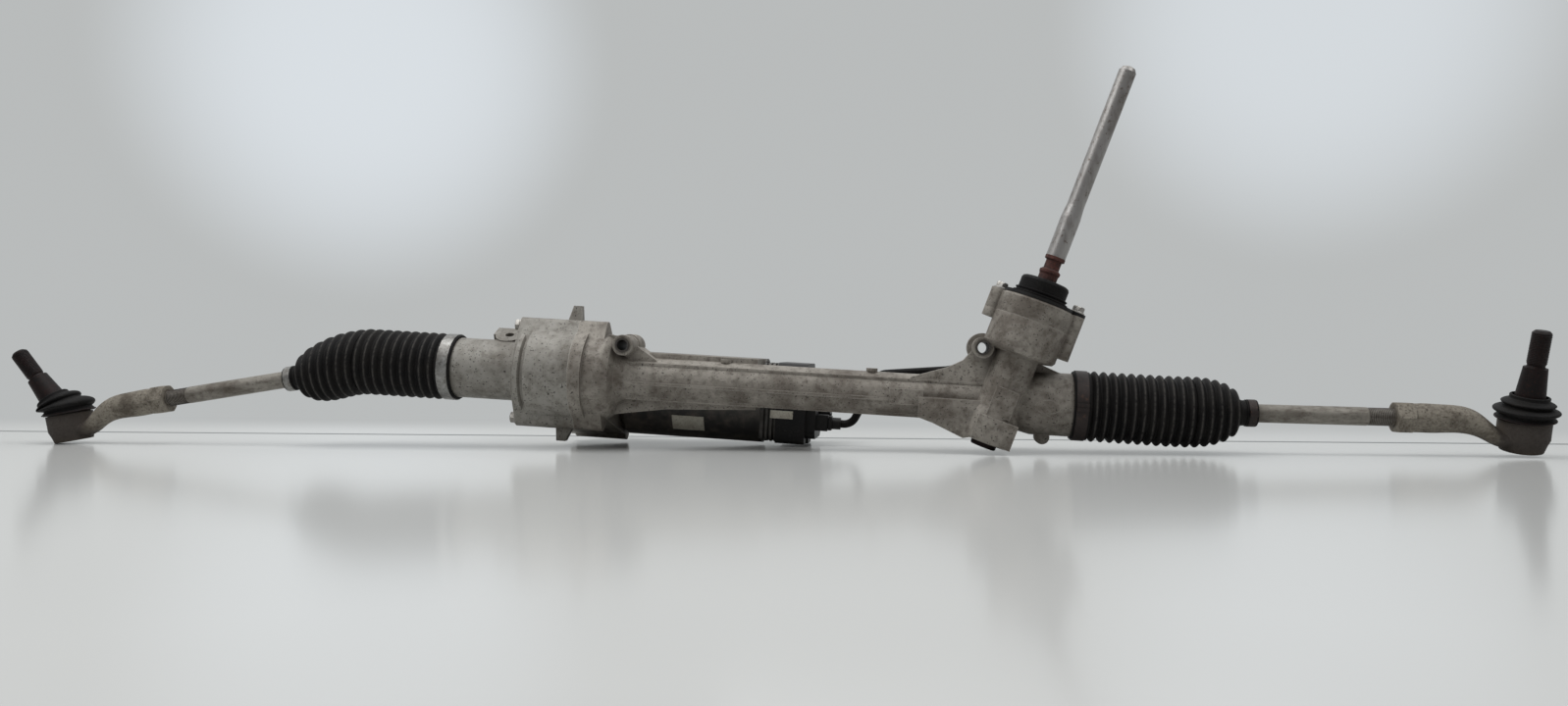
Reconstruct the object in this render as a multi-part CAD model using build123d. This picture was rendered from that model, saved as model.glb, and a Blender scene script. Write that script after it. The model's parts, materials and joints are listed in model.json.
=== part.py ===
from build123d import *
from dataclasses import dataclass
from math import acos, atan, atan2, cos, degrees, pi, radians, sin, sqrt, tan
import os

# Belt-assisted rack-and-pinion steering gear, millimetres.
# Working frame: origin on the rack axis midway between the bellows seats, +X along the rack towards
# the pinion side, -Y towards the pinion, +Z up.  The finished pieces are turned by RESTING_TILT, the
# angle at which the gear lies on its pinion plug, control unit and tie-rod ends.

os.makedirs("parts", exist_ok=True)

# ---- fits ----
RUNNING_FIT = 0.05      # radial, shaft in bearing or bushing
BODY_GAP = 0.3          # between curved faces of pieces that move against each other
PRESS_GAP = 0.02        # radial, between pieces that are pressed together
RESTING_TILT = 3.35     # degrees, +X end down
RESTING_PLACE = (27.5, -40.0, 62.8)  # middle of the rack, from the floor under the part's middle

# ---- rack bar, pinion and yoke ----
RACK_R = 14.0
RACK_TRAVEL = 75.0      # each way from the middle
RACK_SPIGOT_R = 11.0
RACK_SPIGOT_L = 9.0
NORMAL_MODULE = 2.0
PINION_TEETH = 8
PRESSURE_ANGLE = 20.0
PROFILE_SHIFT = 0.5
PINION_LEAN = 17.5      # degrees from square to the rack, equal to the pinion's helix angle
PINION_X = 234.5        # where the pinion axis crosses the rack
GUSSET_REACH = 50.0     # how far the tower's webs run along the tube
RACK_PITCH_DEPTH = 8.5  # rack axis to the reference line of its teeth
TOOTH_BACKLASH = 0.12
PINION_FACE = 30.0
PINION_TIP_R = 10.85
YOKE_R = 14.7
YOKE_BACK = 32.0        # y of the yoke's flat back
YOKE_PLUG_T = 8.0
YOKE_SPRING_GAP = 6.0

# ---- belt drive and ball nut ----
MOTOR_Y = 78.0
MOTOR_Z = -17.5
DRIVEN_PULLEY_R = 30.8
PULLEY_RATIO = 2.8
BELT_T = 2.4
BELT_WIDTH = 16.0
NUT_R = 23.0
NUT_BEARING_R = 35.0
NUT_BEARING_W = 20.0

# ---- castings, x of the faces along the rack ----
SEAM_X = -178.0         # joint face between belt cover and gear housing
HUB_END_X = -147.0
COVER_FACE_X = -236.0
BELT_LOBE_X = -203.0    # end of the belt cover's motor lobe
SEAT_END_X = 318.0      # end of both bellows seats
SEAT_R = 30.0
SEAT_WALL = 4.0
TUBE_R = 21.0
TUBE_BORE_R = 17.0
DRUM_R = 46.0           # belt housing round the rack
LOBE_R = 47.0           # belt housing round the motor shaft
CASTING_WALL = 6.0
BOLT_BOSS_R = 8.0
WEB_T = 5.0
BOLT_CIRCLE_GAP = 0.7   # drum surface to bolt axis
BOLT_BOSS_PROUD = 2.0
RIB_T = 3.0
BUSHING_L = 14.0

# ---- pinion tower, distances along the pinion axis from the rack crossing ----
COLUMN_R = 20.5
COLUMN_FOOT_R = 22.8
COLUMN_BOTTOM = -41.0
COLUMN_BORE_R = 14.0
HEAD_R = 35.0
HEAD_START = 51.0
HEAD_SEAM = 80.5
HEAD_TOP = 100.0
HEAD_BORE_R = 28.0
SENSOR_COVER_T = 3.0
EAR_X = 37.0
EAR_R = 8.5
CAP_R = 23.0
CAP_HEIGHT = 18.0
NECK_R = 9.0
NECK_TOP = 145.0
SHAFT_SLEEVE_R = 9.3
SHAFT_STEP = 188.0
SHAFT_R = 8.2
SHAFT_TIP = 334.5
LOWER_JOURNAL_R = 6.0
PLUG_R = 12.2
PLUG_PROUD = 4.6

# ---- mounting bosses, across the rack ----
MOUNT_BORE_R = 5.2
MOUNT_SLEEVE_R = 7.0
MOUNT_BOSS_R = 10.0
MOUNT_FRONT_Y = -32.0
MOUNT_LENGTH = 50.0
LEFT_MOUNT = (-128.7, 32.3)
RIGHT_MOUNT = (215.5, 49.8)

# ---- motor and control unit ----
MOTOR_R = 43.6
MOTOR_END_X = 0.0
MOTOR_WALL = 3.0
ROTOR_R = 16.0
MOTOR_SHAFT_R = 6.0
HEAT_SINK_T = 16.0
CONTROL_END_X = 56.0
CONTROL_FLOOR_Z = -58.6
CONTROL_TOP_Z = 23.5
CONNECTOR_L = 12.0
CABLE_R = 4.0
CABLE_TURN = 50.0        # cable's last bend, ahead of the pinion
SENSOR_PLUG_START = 2.0
SENSOR_PLUG_H = 14.0

# ---- tie rods, outwards from the inner ball centre ----
INNER_BALL_X = 378.0
INNER_BALL_R = 13.5
SOCKET_R = 18.0
SOCKET_BACK = 30.0
SOCKET_MOUTH = 6.5
ROD_NECK_R = 6.5
ROD_R = 8.6
THREAD_R = 8.0
THREAD_L = 40.0
NUT_L = 16.0
NUT_FLATS = 27.0
ARM_L = 98.0            # lock nut to outer ball centre
ARM_DROP = 9.0
OUTER_BALL_R = 13.5
STUD_NECK_R = 7.0
OUTER_MOUTH = 5.0
BOOT_FOOT = 1.6         # how far the boot's foot stands out from the ball housing
BOOT_WIRE_R = 0.8
END_R = 22.0
END_TOP = 15.0
END_BOTTOM = 18.5
END_PLUG_R = 15.0
TAPER_START = 27.0
TAPER_END = 59.0
TAPER_BIG_R = 13.0
TAPER_SMALL_R = 10.0
STUD_THREAD_R = 8.0
STUD_TIP = 93.0

# ---- bellows ----
BELLOWS_R = 33.5
FOLD_DEPTH = 4.0
BELLOWS_WALL = 1.6
COLLAR_L = 16.0
BIG_FOLDS = 10
TAPER_FOLDS = 6
SMALL_NECK_L = 16.0
CLAMP_T = 1.0
CLAMP_W = 11.0
SMALL_CLAMP_W = 7.0
BOOT_R = 27.0


@dataclass(frozen=True)
class Side:
    """One end of the gear: which way it points and how its loose tie rod lies."""
    name: str
    direction: int
    rod_rise: float      # degrees from the rack axis, up is positive
    rod_to_nut: float    # inner ball centre to lock nut, set by the toe adjustment
    neck_at: float       # inner ball centre to the bellows' outer neck
    end_roll: float      # degrees, rod end turned on its rod so that its stud leans to the front
    stud_lean: float     # degrees, stud leaning outwards in its socket


LEFT = Side("left", -1, -12.18, 243.0, 95.0, 4.0, 28.0)
RIGHT = Side("right", 1, 2.0, 216.0, 78.0, 12.0, 3.0)

# ---- values that follow from the sizes above ----
TRANSVERSE_MODULE = NORMAL_MODULE / cos(radians(PINION_LEAN))
PINION_PITCH_R = TRANSVERSE_MODULE * PINION_TEETH / 2
PINION_Y = -(RACK_PITCH_DEPTH + PINION_PITCH_R + PROFILE_SHIFT * NORMAL_MODULE)
RACK_TOOTH_PITCH = pi * NORMAL_MODULE
DRIVE_PULLEY_R = DRIVEN_PULLEY_R / PULLEY_RATIO
SEAT_BORE_R = SEAT_R - SEAT_WALL
BELT_X = SEAM_X + 14.0
RIGHT_BORE_X = PINION_X + 30.0
RESTING = Pos(*RESTING_PLACE) * Rot(Y=RESTING_TILT)
PINION_AXIS = Plane(
    origin=(PINION_X, PINION_Y, 0),
    x_dir=(cos(radians(PINION_LEAN)), 0, -sin(radians(PINION_LEAN))),
    z_dir=(sin(radians(PINION_LEAN)), 0, cos(radians(PINION_LEAN))),
)


# ---------------------------------------------------------------- helpers
def rod_x(radius, x_from, x_to, y=0.0, z=0.0):
    """Solid cylinder along the rack."""
    face = Plane.YZ.offset(x_from) * Pos(y, z) * Circle(radius)
    return extrude(face, amount=x_to - x_from)


def ring_x(outer, inner, x_from, x_to, y=0.0, z=0.0):
    """Ring round an axis parallel to the rack."""
    return rod_x(outer, x_from, x_to, y, z) - rod_x(inner, x_from - 1, x_to + 1, y, z)


def rod_y(radius, y_from, y_to, x, z):
    """Solid cylinder across the rack, from front to back."""
    return Pos(x, y_from, z) * Rot(X=-90) * Cylinder(radius, y_to - y_from,
                                                     align=(Align.CENTER, Align.CENTER, Align.MIN))


def rod_s(radius, s_from, s_to, x=0.0, y=0.0):
    """Solid cylinder parallel to the pinion axis."""
    upright = Pos(x, y, s_from) * Cylinder(radius, s_to - s_from, align=(Align.CENTER, Align.CENTER, Align.MIN))
    return PINION_AXIS.location * upright


def turned(points):
    """Solid turned round Z from (radius, height) points."""
    return revolve(make_face(Plane.XZ * Polyline(*points, close=True)), Axis.Z)


def turned_s(points):
    """Solid turned round the pinion axis from (radius, distance along the axis) points."""
    return PINION_AXIS.location * turned(points)


def turned_x(points):
    """Solid turned round the rack axis from (x, radius) points."""
    return revolve(make_face(Plane.XZ * Polyline(*points, close=True)), Axis.X)


def plate_xz(points, y_from, y_to):
    """Flat web lying along the rack, from its (x, z) outline."""
    outline = make_face(Plane.XZ * Polyline(*points, close=True))
    return Pos(0, y_to, 0) * extrude(outline, amount=y_to - y_from, dir=(0, -1, 0))


def belt_outline(drum_r, lobe_r, x_from, x_to):
    """Egg-shaped solid round the rack and the motor shaft."""
    drum = Circle(drum_r)
    lobe = Pos(MOTOR_Y, MOTOR_Z) * Circle(lobe_r)
    outline = Plane.YZ.offset(x_from) * make_hull(drum.edges() + lobe.edges())
    return extrude(outline, amount=x_to - x_from)


def boss_outline(drum_r, x_from, x_to):
    """Drum drawn out to the two cover bolts above and below it."""
    circles = Circle(drum_r).edges()
    for y, z in bolt_places()[:2]:
        circles += (Pos(y, z) * Circle(BOLT_BOSS_R)).edges()
    return extrude(Plane.YZ.offset(x_from) * make_hull(circles), amount=x_to - x_from)


def hexagon_x(across_flats, x_from, x_to):
    """Hexagonal bar along X."""
    face = Plane.YZ.offset(x_from) * RegularPolygon(across_flats / 2, 6, major_radius=False)
    return extrude(face, amount=x_to - x_from)


def one_solid(shape):
    """The largest solid of a shape, for pieces that are a single casting or turning."""
    return max(shape.solids(), key=lambda solid: solid.volume)


def write(name, shape):
    """Lay a piece in the resting position and write it."""
    export_step(RESTING * shape, f"parts/{name}.step")


# ---------------------------------------------------------------- castings
def bolt_places():
    """(y, z) of the cover bolts, round the drum and round the motor lobe."""
    circle_r = DRUM_R + BOLT_CIRCLE_GAP
    drum = [(circle_r * cos(radians(a)), circle_r * sin(radians(a))) for a in (98, 262)]
    lobe = [(MOTOR_Y + LOBE_R * cos(radians(a)), MOTOR_Z + LOBE_R * sin(radians(a))) for a in (70, 0, 290)]
    return drum + lobe


def mount_boss(place, back_r):
    """Mounting boss across the rack, a little larger at its back."""
    x, z = place
    back = MOUNT_FRONT_Y + MOUNT_LENGTH
    return rod_y(MOUNT_BOSS_R, MOUNT_FRONT_Y, back, x, z) + rod_y(back_r, back - 22, back, x, z)


def hub():
    """Belt housing half of the gear housing, drawn in towards the tube."""
    flange = belt_outline(DRUM_R, LOBE_R, SEAM_X, SEAM_X + 12)
    wall = belt_outline(DRUM_R - 4, LOBE_R - 2, SEAM_X + 12, HUB_END_X)
    shoulder = turned_x([(HUB_END_X, 0), (HUB_END_X, DRUM_R - 4), (HUB_END_X + 6, DRUM_R - 8),
                         (HUB_END_X + 9, TUBE_R + 6), (HUB_END_X + 26, TUBE_R), (HUB_END_X + 26, 0)])
    bosses = [rod_x(BOLT_BOSS_R, SEAM_X, HUB_END_X - 3, y, z) for y, z in bolt_places()[2:]]
    return flange + wall + shoulder + bosses + boss_outline(DRUM_R - 9, SEAM_X, HUB_END_X - 3)


def tube_ribs():
    """Cast ribs along the front of the tube."""
    x_from, x_to = HUB_END_X, PINION_X
    ribs = []
    for z, reach in ((15.0, 16.5), (-4.0, TUBE_R + 1.6), (-19.0, 11.5)):
        ribs.append(Pos((x_from + x_to) / 2, -reach / 2, z) * Box(x_to - x_from, reach, RIB_T))
    return ribs


def casting_pads():
    """Raised pads on the front of the tube, the column and the seat."""
    tube_pad = Pos(PINION_X - 88, -TUBE_R + 1, -1) * Box(32, 6, 15)
    column_pad = PINION_AXIS.location * (Pos(2, -COLUMN_R + 1.6, 0) * Box(22, 6, 27))
    foot = PINION_AXIS.location * (Pos(4, -COLUMN_FOOT_R + 10, COLUMN_BOTTOM + 13) * Box(2 * COLUMN_FOOT_R - 8, 22, 24))
    oval = Pos(SEAT_END_X - 40, -SEAT_R, -2) * Rot(X=90) * extrude(Ellipse(12, 6.5), amount=0.8, both=True)
    return tube_pad + column_pad + foot + oval


def motor_cradle():
    """Webs above and below that tie the motor to the tube."""
    reach = MOTOR_Y - sqrt(MOTOR_R ** 2 - (TUBE_R + 1 - MOTOR_Z) ** 2) - BODY_GAP
    upper = Pos((HUB_END_X + MOTOR_END_X) / 2, reach / 2, TUBE_R) * Box(
        MOTOR_END_X - HUB_END_X, reach, 2 * WEB_T)
    lower_z = -TUBE_R - 3.0
    lower_reach = MOTOR_Y - sqrt(MOTOR_R ** 2 - (lower_z - MOTOR_Z) ** 2) - BODY_GAP
    lower = plate_xz([(HUB_END_X, lower_z + 5), (HUB_END_X, lower_z - 14), (MOTOR_END_X - 90, lower_z - 5),
                      (MOTOR_END_X, lower_z), (MOTOR_END_X, lower_z + 5)], 0, lower_reach)
    return upper + lower - rod_x(MOTOR_R + BODY_GAP, HUB_END_X, MOTOR_END_X + 1, MOTOR_Y, MOTOR_Z)


def tower_gussets():
    """Webs between the tube, the pinion column and the right mounting boss."""
    upper = plate_xz([(PINION_X - 85, TUBE_R - 3), (PINION_X - 68, TUBE_R + 2.5),
                      (PINION_X - GUSSET_REACH, TUBE_R + 8.5), (PINION_X - 36, TUBE_R + 16),
                      (PINION_X - 24, RIGHT_MOUNT[1] + 2),
                      (PINION_X + 2, RIGHT_MOUNT[1]), (PINION_X, 0), (PINION_X - 85, 0)], -16, 4)
    lower = plate_xz([(PINION_X - 76, 0), (PINION_X - 76, -TUBE_R + 2), (PINION_X - 62, -TUBE_R - 2.5),
                      (PINION_X - 33, COLUMN_BOTTOM + 5), (PINION_X - 10, COLUMN_BOTTOM + 10),
                      (PINION_X, 0)], -30, -8)
    back = plate_xz([(PINION_X, TUBE_R + 5), (PINION_X + 22, TUBE_R + 22), (PINION_X + 60, SEAT_R - 2),
                     (PINION_X + 60, 0), (PINION_X, 0)], -6, 2)
    return upper + lower + back


def tower():
    """Pinion column, its foot, and the lower tier of the sensor head with its screw ears."""
    column = turned_s([(0, COLUMN_BOTTOM), (COLUMN_FOOT_R - 2, COLUMN_BOTTOM), (COLUMN_FOOT_R, COLUMN_BOTTOM + 2),
                       (COLUMN_FOOT_R, -14), (COLUMN_R, -6), (COLUMN_R, HEAD_START), (0, HEAD_START)])
    head = turned_s([(0, HEAD_START - 5), (COLUMN_R + 4, HEAD_START - 5), (HEAD_R - 2, HEAD_START - 3),
                     (HEAD_R, HEAD_START), (HEAD_R, HEAD_SEAM), (0, HEAD_SEAM)])
    starts = (HEAD_START + 6, HEAD_START + 6, HEAD_SEAM - 8.5)
    ears = [rod_s(EAR_R, start, HEAD_SEAM, x, y) for start, (x, y) in zip(starts, ear_places())]
    return column + head + ears


def ear_places():
    """(x, y) of the cover screws, square to the pinion axis."""
    return [(EAR_X * cos(radians(a)), EAR_X * sin(radians(a))) for a in (0, 115, 174)]


def gear_housing():
    tube = rod_x(TUBE_R, HUB_END_X, PINION_X)
    seat = turned_x([(PINION_X, 0), (PINION_X, TUBE_R + 2), (PINION_X + 30, SEAT_R), (SEAT_END_X, SEAT_R),
                     (SEAT_END_X, 0)])
    yoke_boss = rod_y(YOKE_R + 6, 0, YOKE_BACK + YOKE_SPRING_GAP + YOKE_PLUG_T, PINION_X, 0)
    left_mount = mount_boss(LEFT_MOUNT, MOUNT_BOSS_R + 1)
    left_web = plate_xz([(HUB_END_X, 8), (HUB_END_X, LEFT_MOUNT[1] + 9), (LEFT_MOUNT[0], LEFT_MOUNT[1] + 8),
                         (LEFT_MOUNT[0] + 9, LEFT_MOUNT[1]), (LEFT_MOUNT[0] + 30, TUBE_R - 2),
                         (LEFT_MOUNT[0] + 30, 8)], -12, 14)
    right_mount = mount_boss(RIGHT_MOUNT, MOUNT_BOSS_R + 4)
    lug = rod_y(7, -7, 7, PINION_X + 42, -SEAT_R - 1.5)
    pads = [Pos(x, -3, TUBE_R + 1) * Cylinder(5.5, 4) for x in (-31, 112)]
    shape = hub() + tube + seat + yoke_boss + left_mount + left_web + right_mount + lug + pads
    shape += tube_ribs()
    shape += motor_cradle()
    shape += tower_gussets()
    shape += tower()
    shape += casting_pads()
    return one_solid(shape - gear_housing_cuts())


def gear_housing_cuts():
    """Every bore and cavity of the gear housing."""
    cuts = rod_x(TUBE_BORE_R, SEAM_X - 1, RIGHT_BORE_X + 1)
    cuts += rod_x(SEAT_BORE_R, RIGHT_BORE_X, SEAT_END_X + 1)
    cuts += belt_outline(DRIVEN_PULLEY_R + 6, DRUM_R - CASTING_WALL, SEAM_X - 1, BELT_X + BELT_WIDTH / 2 + 4)
    cuts += rod_x(MOTOR_SHAFT_R + 4, SEAM_X, HUB_END_X + 1, MOTOR_Y, MOTOR_Z)
    cuts += [rod_x(3.1, SEAM_X - 1, HUB_END_X - 9, y, z) for y, z in bolt_places()]
    cuts += rod_s(COLUMN_BORE_R, COLUMN_BOTTOM - 1, HEAD_SEAM)
    cuts += rod_s(HEAD_BORE_R, HEAD_START + 4, HEAD_SEAM + 1)
    cuts += [rod_s(2.8, HEAD_SEAM - 8, HEAD_SEAM + 1, x, y) for x, y in ear_places()]
    yoke_end = YOKE_BACK + YOKE_SPRING_GAP + YOKE_PLUG_T
    cuts += rod_y(YOKE_R + RUNNING_FIT, 0, yoke_end + 1, PINION_X, 0)
    for x, z in (LEFT_MOUNT, RIGHT_MOUNT):
        cuts += rod_y(MOUNT_SLEEVE_R, MOUNT_FRONT_Y - 1, MOUNT_FRONT_Y + MOUNT_LENGTH + 1, x, z)
    cuts += rod_x(MOTOR_R + BODY_GAP, HUB_END_X, MOTOR_END_X + 1, MOTOR_Y, MOTOR_Z)
    return cuts


def belt_cover():
    """Cast cover over the belt and ball nut, with the left bellows seat."""
    lobe = belt_outline(DRUM_R - 2, LOBE_R, BELT_LOBE_X, SEAM_X)
    drum = turned_x([(COVER_FACE_X, 0), (COVER_FACE_X, DRUM_R - 8), (COVER_FACE_X + 3, DRUM_R - 3),
                     (COVER_FACE_X + 7, DRUM_R - 3), (COVER_FACE_X + 9, DRUM_R - 6), (COVER_FACE_X + 11, DRUM_R - 6),
                     (COVER_FACE_X + 14, DRUM_R), (SEAM_X, DRUM_R), (SEAM_X, 0)])
    seat = rod_x(SEAT_R, -SEAT_END_X, COVER_FACE_X)
    shape = lobe + drum + seat
    shape += boss_outline(DRUM_R - 9, COVER_FACE_X - BOLT_BOSS_PROUD, SEAM_X)
    for y, z in bolt_places()[2:]:
        shape += rod_x(BOLT_BOSS_R, BELT_LOBE_X - BOLT_BOSS_PROUD, SEAM_X, y, z)
    fin = [(SEAM_X - 18, DRUM_R - 4), (SEAM_X - 9.5, DRUM_R + 22.5), (SEAM_X - 1.5, DRUM_R + 22.5),
           (SEAM_X, DRUM_R + 6), (SEAM_X, DRUM_R - 4)]
    shape += plate_xz(fin, -3, 5)
    shape += plate_xz([(SEAM_X - 22, -DRUM_R + 4), (SEAM_X - 20, -DRUM_R - 21), (SEAM_X - 11, -DRUM_R - 21),
                       (SEAM_X - 4, -DRUM_R - 6), (SEAM_X - 4, -DRUM_R + 4)], -3, 5)
    shape += lifting_ear() - rod_x(SEAT_R - 3, COVER_FACE_X - 40, COVER_FACE_X + 1)
    return one_solid(shape - belt_cover_cuts())


def ear_location():
    """Middle of the lifting ear on the seat, tipped to the front."""
    return Pos(COVER_FACE_X - 18, 4, SEAT_R + 3.5) * Rot(X=26)


def lifting_ear():
    """Drilled ear with a web back to the drum and down to the seat."""
    ear = Pos(0, 0, -1) * Cylinder(14, 7) + Pos(0, 8, -5) * Box(34, 16, 14)
    ear += Pos(10, 4, -3.5) * Box(20, 24, 12)
    return ear_location() * ear


def belt_cover_cuts():
    """Bores of the belt cover."""
    cuts = rod_x(SEAT_BORE_R, -SEAT_END_X - 1, COVER_FACE_X - BUSHING_L - 2)
    cuts += rod_x(TUBE_BORE_R, -SEAT_END_X - 1, SEAM_X + 1)
    cuts += rod_x(NUT_BEARING_R, COVER_FACE_X + 8, SEAM_X + 1)
    cuts += belt_outline(DRIVEN_PULLEY_R + 6, DRUM_R - CASTING_WALL, BELT_LOBE_X + 6, SEAM_X + 1)
    cuts += [rod_x(3.4, COVER_FACE_X - BOLT_BOSS_PROUD - 1, SEAM_X + 1, y, z) for y, z in bolt_places()]
    cuts += ear_location() * Cylinder(4.5, 12)
    return cuts


def cover_bolts():
    """Hexagon-headed bolts that join the belt cover to the gear housing."""
    bolts = []
    for index, (y, z) in enumerate(bolt_places()):
        head_x = (COVER_FACE_X if index < 2 else BELT_LOBE_X) - BOLT_BOSS_PROUD
        shank = rod_x(3.0, head_x, HUB_END_X - 12, y, z)
        head = Pos(0, y, z) * hexagon_x(10.0, head_x - 6, head_x)
        washer = rod_x(6.6, head_x - 1.2, head_x, y, z)
        bolts.append(shank + head + washer)
    return Compound([one_solid(bolt) for bolt in bolts])


def mount_sleeves():
    """Steel sleeves lining the two mounting bosses."""
    sleeves = []
    for x, z in (LEFT_MOUNT, RIGHT_MOUNT):
        y_from, y_to = MOUNT_FRONT_Y - 1.5, MOUNT_FRONT_Y + MOUNT_LENGTH
        sleeves.append(one_solid(rod_y(MOUNT_SLEEVE_R - PRESS_GAP, y_from, y_to, x, z)
                                 - rod_y(MOUNT_BORE_R, y_from - 1, y_to + 1, x, z)))
    return Compound(sleeves)


# ---------------------------------------------------------------- pinion tower pieces
def sensor_housing():
    """Upper tier of the head, round the torque sensor."""
    body = turned_s([(0, HEAD_SEAM), (HEAD_R, HEAD_SEAM), (HEAD_R, HEAD_TOP - 2), (HEAD_R - 1.5, HEAD_TOP),
                     (0, HEAD_TOP)])
    body += [rod_s(EAR_R, HEAD_SEAM, HEAD_TOP, x, y) for x, y in ear_places()]
    body -= rod_s(HEAD_BORE_R, HEAD_SEAM - 1, HEAD_TOP - 12)
    body -= rod_s(15.0, HEAD_SEAM, HEAD_TOP + 1)
    body -= [rod_s(2.8, HEAD_SEAM - 1, HEAD_TOP + 1, x, y) for x, y in ear_places()]
    return one_solid(body)


def sensor_cover():
    """Thin black cover plate under the dust cap."""
    plate = rod_s(HEAD_R - 1, HEAD_TOP, HEAD_TOP + SENSOR_COVER_T)
    plate += [rod_s(EAR_R, HEAD_TOP, HEAD_TOP + SENSOR_COVER_T, x, y) for x, y in ear_places()[:2]]
    plate -= rod_s(NECK_R + 2, HEAD_TOP - 1, HEAD_TOP + SENSOR_COVER_T + 1)
    plate -= [rod_s(2.8, HEAD_TOP - 1, HEAD_TOP + 9, x, y) for x, y in ear_places()[:2]]
    plate -= rod_s(EAR_R, HEAD_TOP - 1, HEAD_TOP + 9, *ear_places()[2])
    return one_solid(plate)


def sensor_screws():
    """Screws through the ears of the sensor housing, two of them through the cover plate."""
    plate_top = HEAD_TOP + SENSOR_COVER_T
    screws = []
    for (x, y), top in zip(ear_places(), (plate_top, plate_top, HEAD_TOP)):
        head = turned([(0, 0), (6.2, 0), (6.2, 1.2), (5.2, 1.2), (5.2, 5.0), (4.6, 5.6), (0, 5.6)])
        head = PINION_AXIS.location * (Pos(x, y, top) * head)
        screws.append(one_solid(rod_s(2.5, HEAD_SEAM - 8, top, x, y) + head))
    return Compound(screws)


def dust_cap():
    """Rubber cap with a foot bead, closing on the input shaft with a lip."""
    foot = HEAD_TOP + SENSOR_COVER_T
    top = foot + CAP_HEIGHT
    lip = NECK_R + BODY_GAP
    return one_solid(turned_s([
        (CAP_R - 5, foot), (CAP_R + 3.5, foot), (CAP_R + 3.5, foot + 2), (CAP_R + 1.2, foot + 2.8),
        (CAP_R + 1.2, foot + 3.8), (CAP_R + 2, foot + 4.4), (CAP_R + 2, foot + 5.4), (CAP_R, foot + 6),
        (CAP_R, top - 3), (CAP_R - 1, top - 1), (CAP_R - 3, top), (lip + 2, top), (lip, top - 1.5),
        (lip, top - 3.5), (CAP_R - 5, top - 3.5)]))


def bearing(outer_r, inner_r, s_from, s_to):
    """Ball bearing drawn as one ring with its shield grooves."""
    mid = (outer_r + inner_r) / 2
    groove = (outer_r - inner_r) / 5
    return one_solid(turned_s([
        (inner_r, s_from), (mid - groove, s_from), (mid - groove, s_from + 1), (mid + groove, s_from + 1),
        (mid + groove, s_from), (outer_r, s_from), (outer_r, s_to), (mid + groove, s_to),
        (mid + groove, s_to - 1), (mid - groove, s_to - 1), (mid - groove, s_to), (inner_r, s_to)]))


def pinion_plug():
    """Cap screwed into the foot of the column, with a hexagon key socket."""
    head_s = COLUMN_BOTTOM - PLUG_PROUD
    plug = turned_s([(0, head_s), (PLUG_R - 1, head_s), (PLUG_R, head_s + 1), (PLUG_R, COLUMN_BOTTOM),
                     (PLUG_R, COLUMN_BOTTOM + 4), (0, COLUMN_BOTTOM + 4)])
    key = extrude(Plane(origin=(0, 0, head_s - 1)) * RegularPolygon(4.0, 6, major_radius=False), amount=4)
    seat = turned_s([(PLUG_R - 1, COLUMN_BOTTOM), (COLUMN_BORE_R - PRESS_GAP, COLUMN_BOTTOM),
                     (COLUMN_BORE_R - PRESS_GAP, COLUMN_BOTTOM + 4), (PLUG_R - 1, COLUMN_BOTTOM + 4)])
    return one_solid(plug + seat - PINION_AXIS.location * key)


def involute(angle):
    return tan(angle) - angle


def pinion_tooth_half_angle(radius):
    """Half the angle that a pinion tooth spans at a radius, square to its axis."""
    transverse_pressure = atan(tan(radians(PRESSURE_ANGLE)) / cos(radians(PINION_LEAN)))
    base_r = PINION_PITCH_R * cos(transverse_pressure)
    thickness = TRANSVERSE_MODULE * pi / 2 - TOOTH_BACKLASH
    thickness += 2 * PROFILE_SHIFT * NORMAL_MODULE * tan(transverse_pressure)
    half = thickness / (2 * PINION_PITCH_R) + involute(transverse_pressure)
    local = acos(min(1.0, base_r / max(radius, base_r)))
    return half - involute(local)


def pinion_section():
    """Outline of the pinion square to its axis, one tooth pointing at the rack."""
    root_r = PINION_PITCH_R + (PROFILE_SHIFT - 1.25) * NORMAL_MODULE
    flank_steps = 6
    radii = [root_r + (PINION_TIP_R - root_r) * step / flank_steps for step in range(flank_steps + 1)]
    points = []
    for tooth in range(PINION_TEETH):
        middle = pi / 2 + tooth * 2 * pi / PINION_TEETH
        rising = [(r, middle - pinion_tooth_half_angle(r)) for r in radii]
        falling = [(r, middle + pinion_tooth_half_angle(r)) for r in reversed(radii)]
        points += [(r * cos(a), r * sin(a)) for r, a in rising + falling]
    return make_face(Polyline(*points, close=True))


def pinion_shaft():
    """Helical pinion with its journals and the torsion bar end."""
    twist = degrees(PINION_FACE * tan(radians(PINION_LEAN)) / PINION_PITCH_R)
    gear = Solid.extrude_linear_with_rotation(
        pinion_section().face(), center=(0, 0, 0), normal=(0, 0, PINION_FACE), angle=twist)
    gear = Pos(0, 0, -PINION_FACE / 2) * (Rot(Z=-twist / 2) * gear)
    half = PINION_FACE / 2
    foot = COLUMN_BOTTOM + 8
    journals = turned([(0, foot), (LOWER_JOURNAL_R, foot), (LOWER_JOURNAL_R, -half), (0, -half)])
    journals += turned([(0, half), (7.4, half), (7.4, HEAD_START - 12), (8.0, HEAD_START - 12),
                        (8.0, HEAD_START + 2), (6.0, HEAD_START + 2), (6.0, HEAD_START + 12),
                        (0, HEAD_START + 12)])
    return one_solid(PINION_AXIS.location * (gear + journals))


def sensor_rotor():
    """Magnet ring and target disc of the torque sensor, pressed on the input shaft."""
    start = HEAD_START + 14
    ring = turned_s([(NECK_R + PRESS_GAP, start), (24, start), (24, start + 3), (12, start + 3),
                     (12, start + 12), (NECK_R + PRESS_GAP, start + 12)])
    return one_solid(ring)


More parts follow.
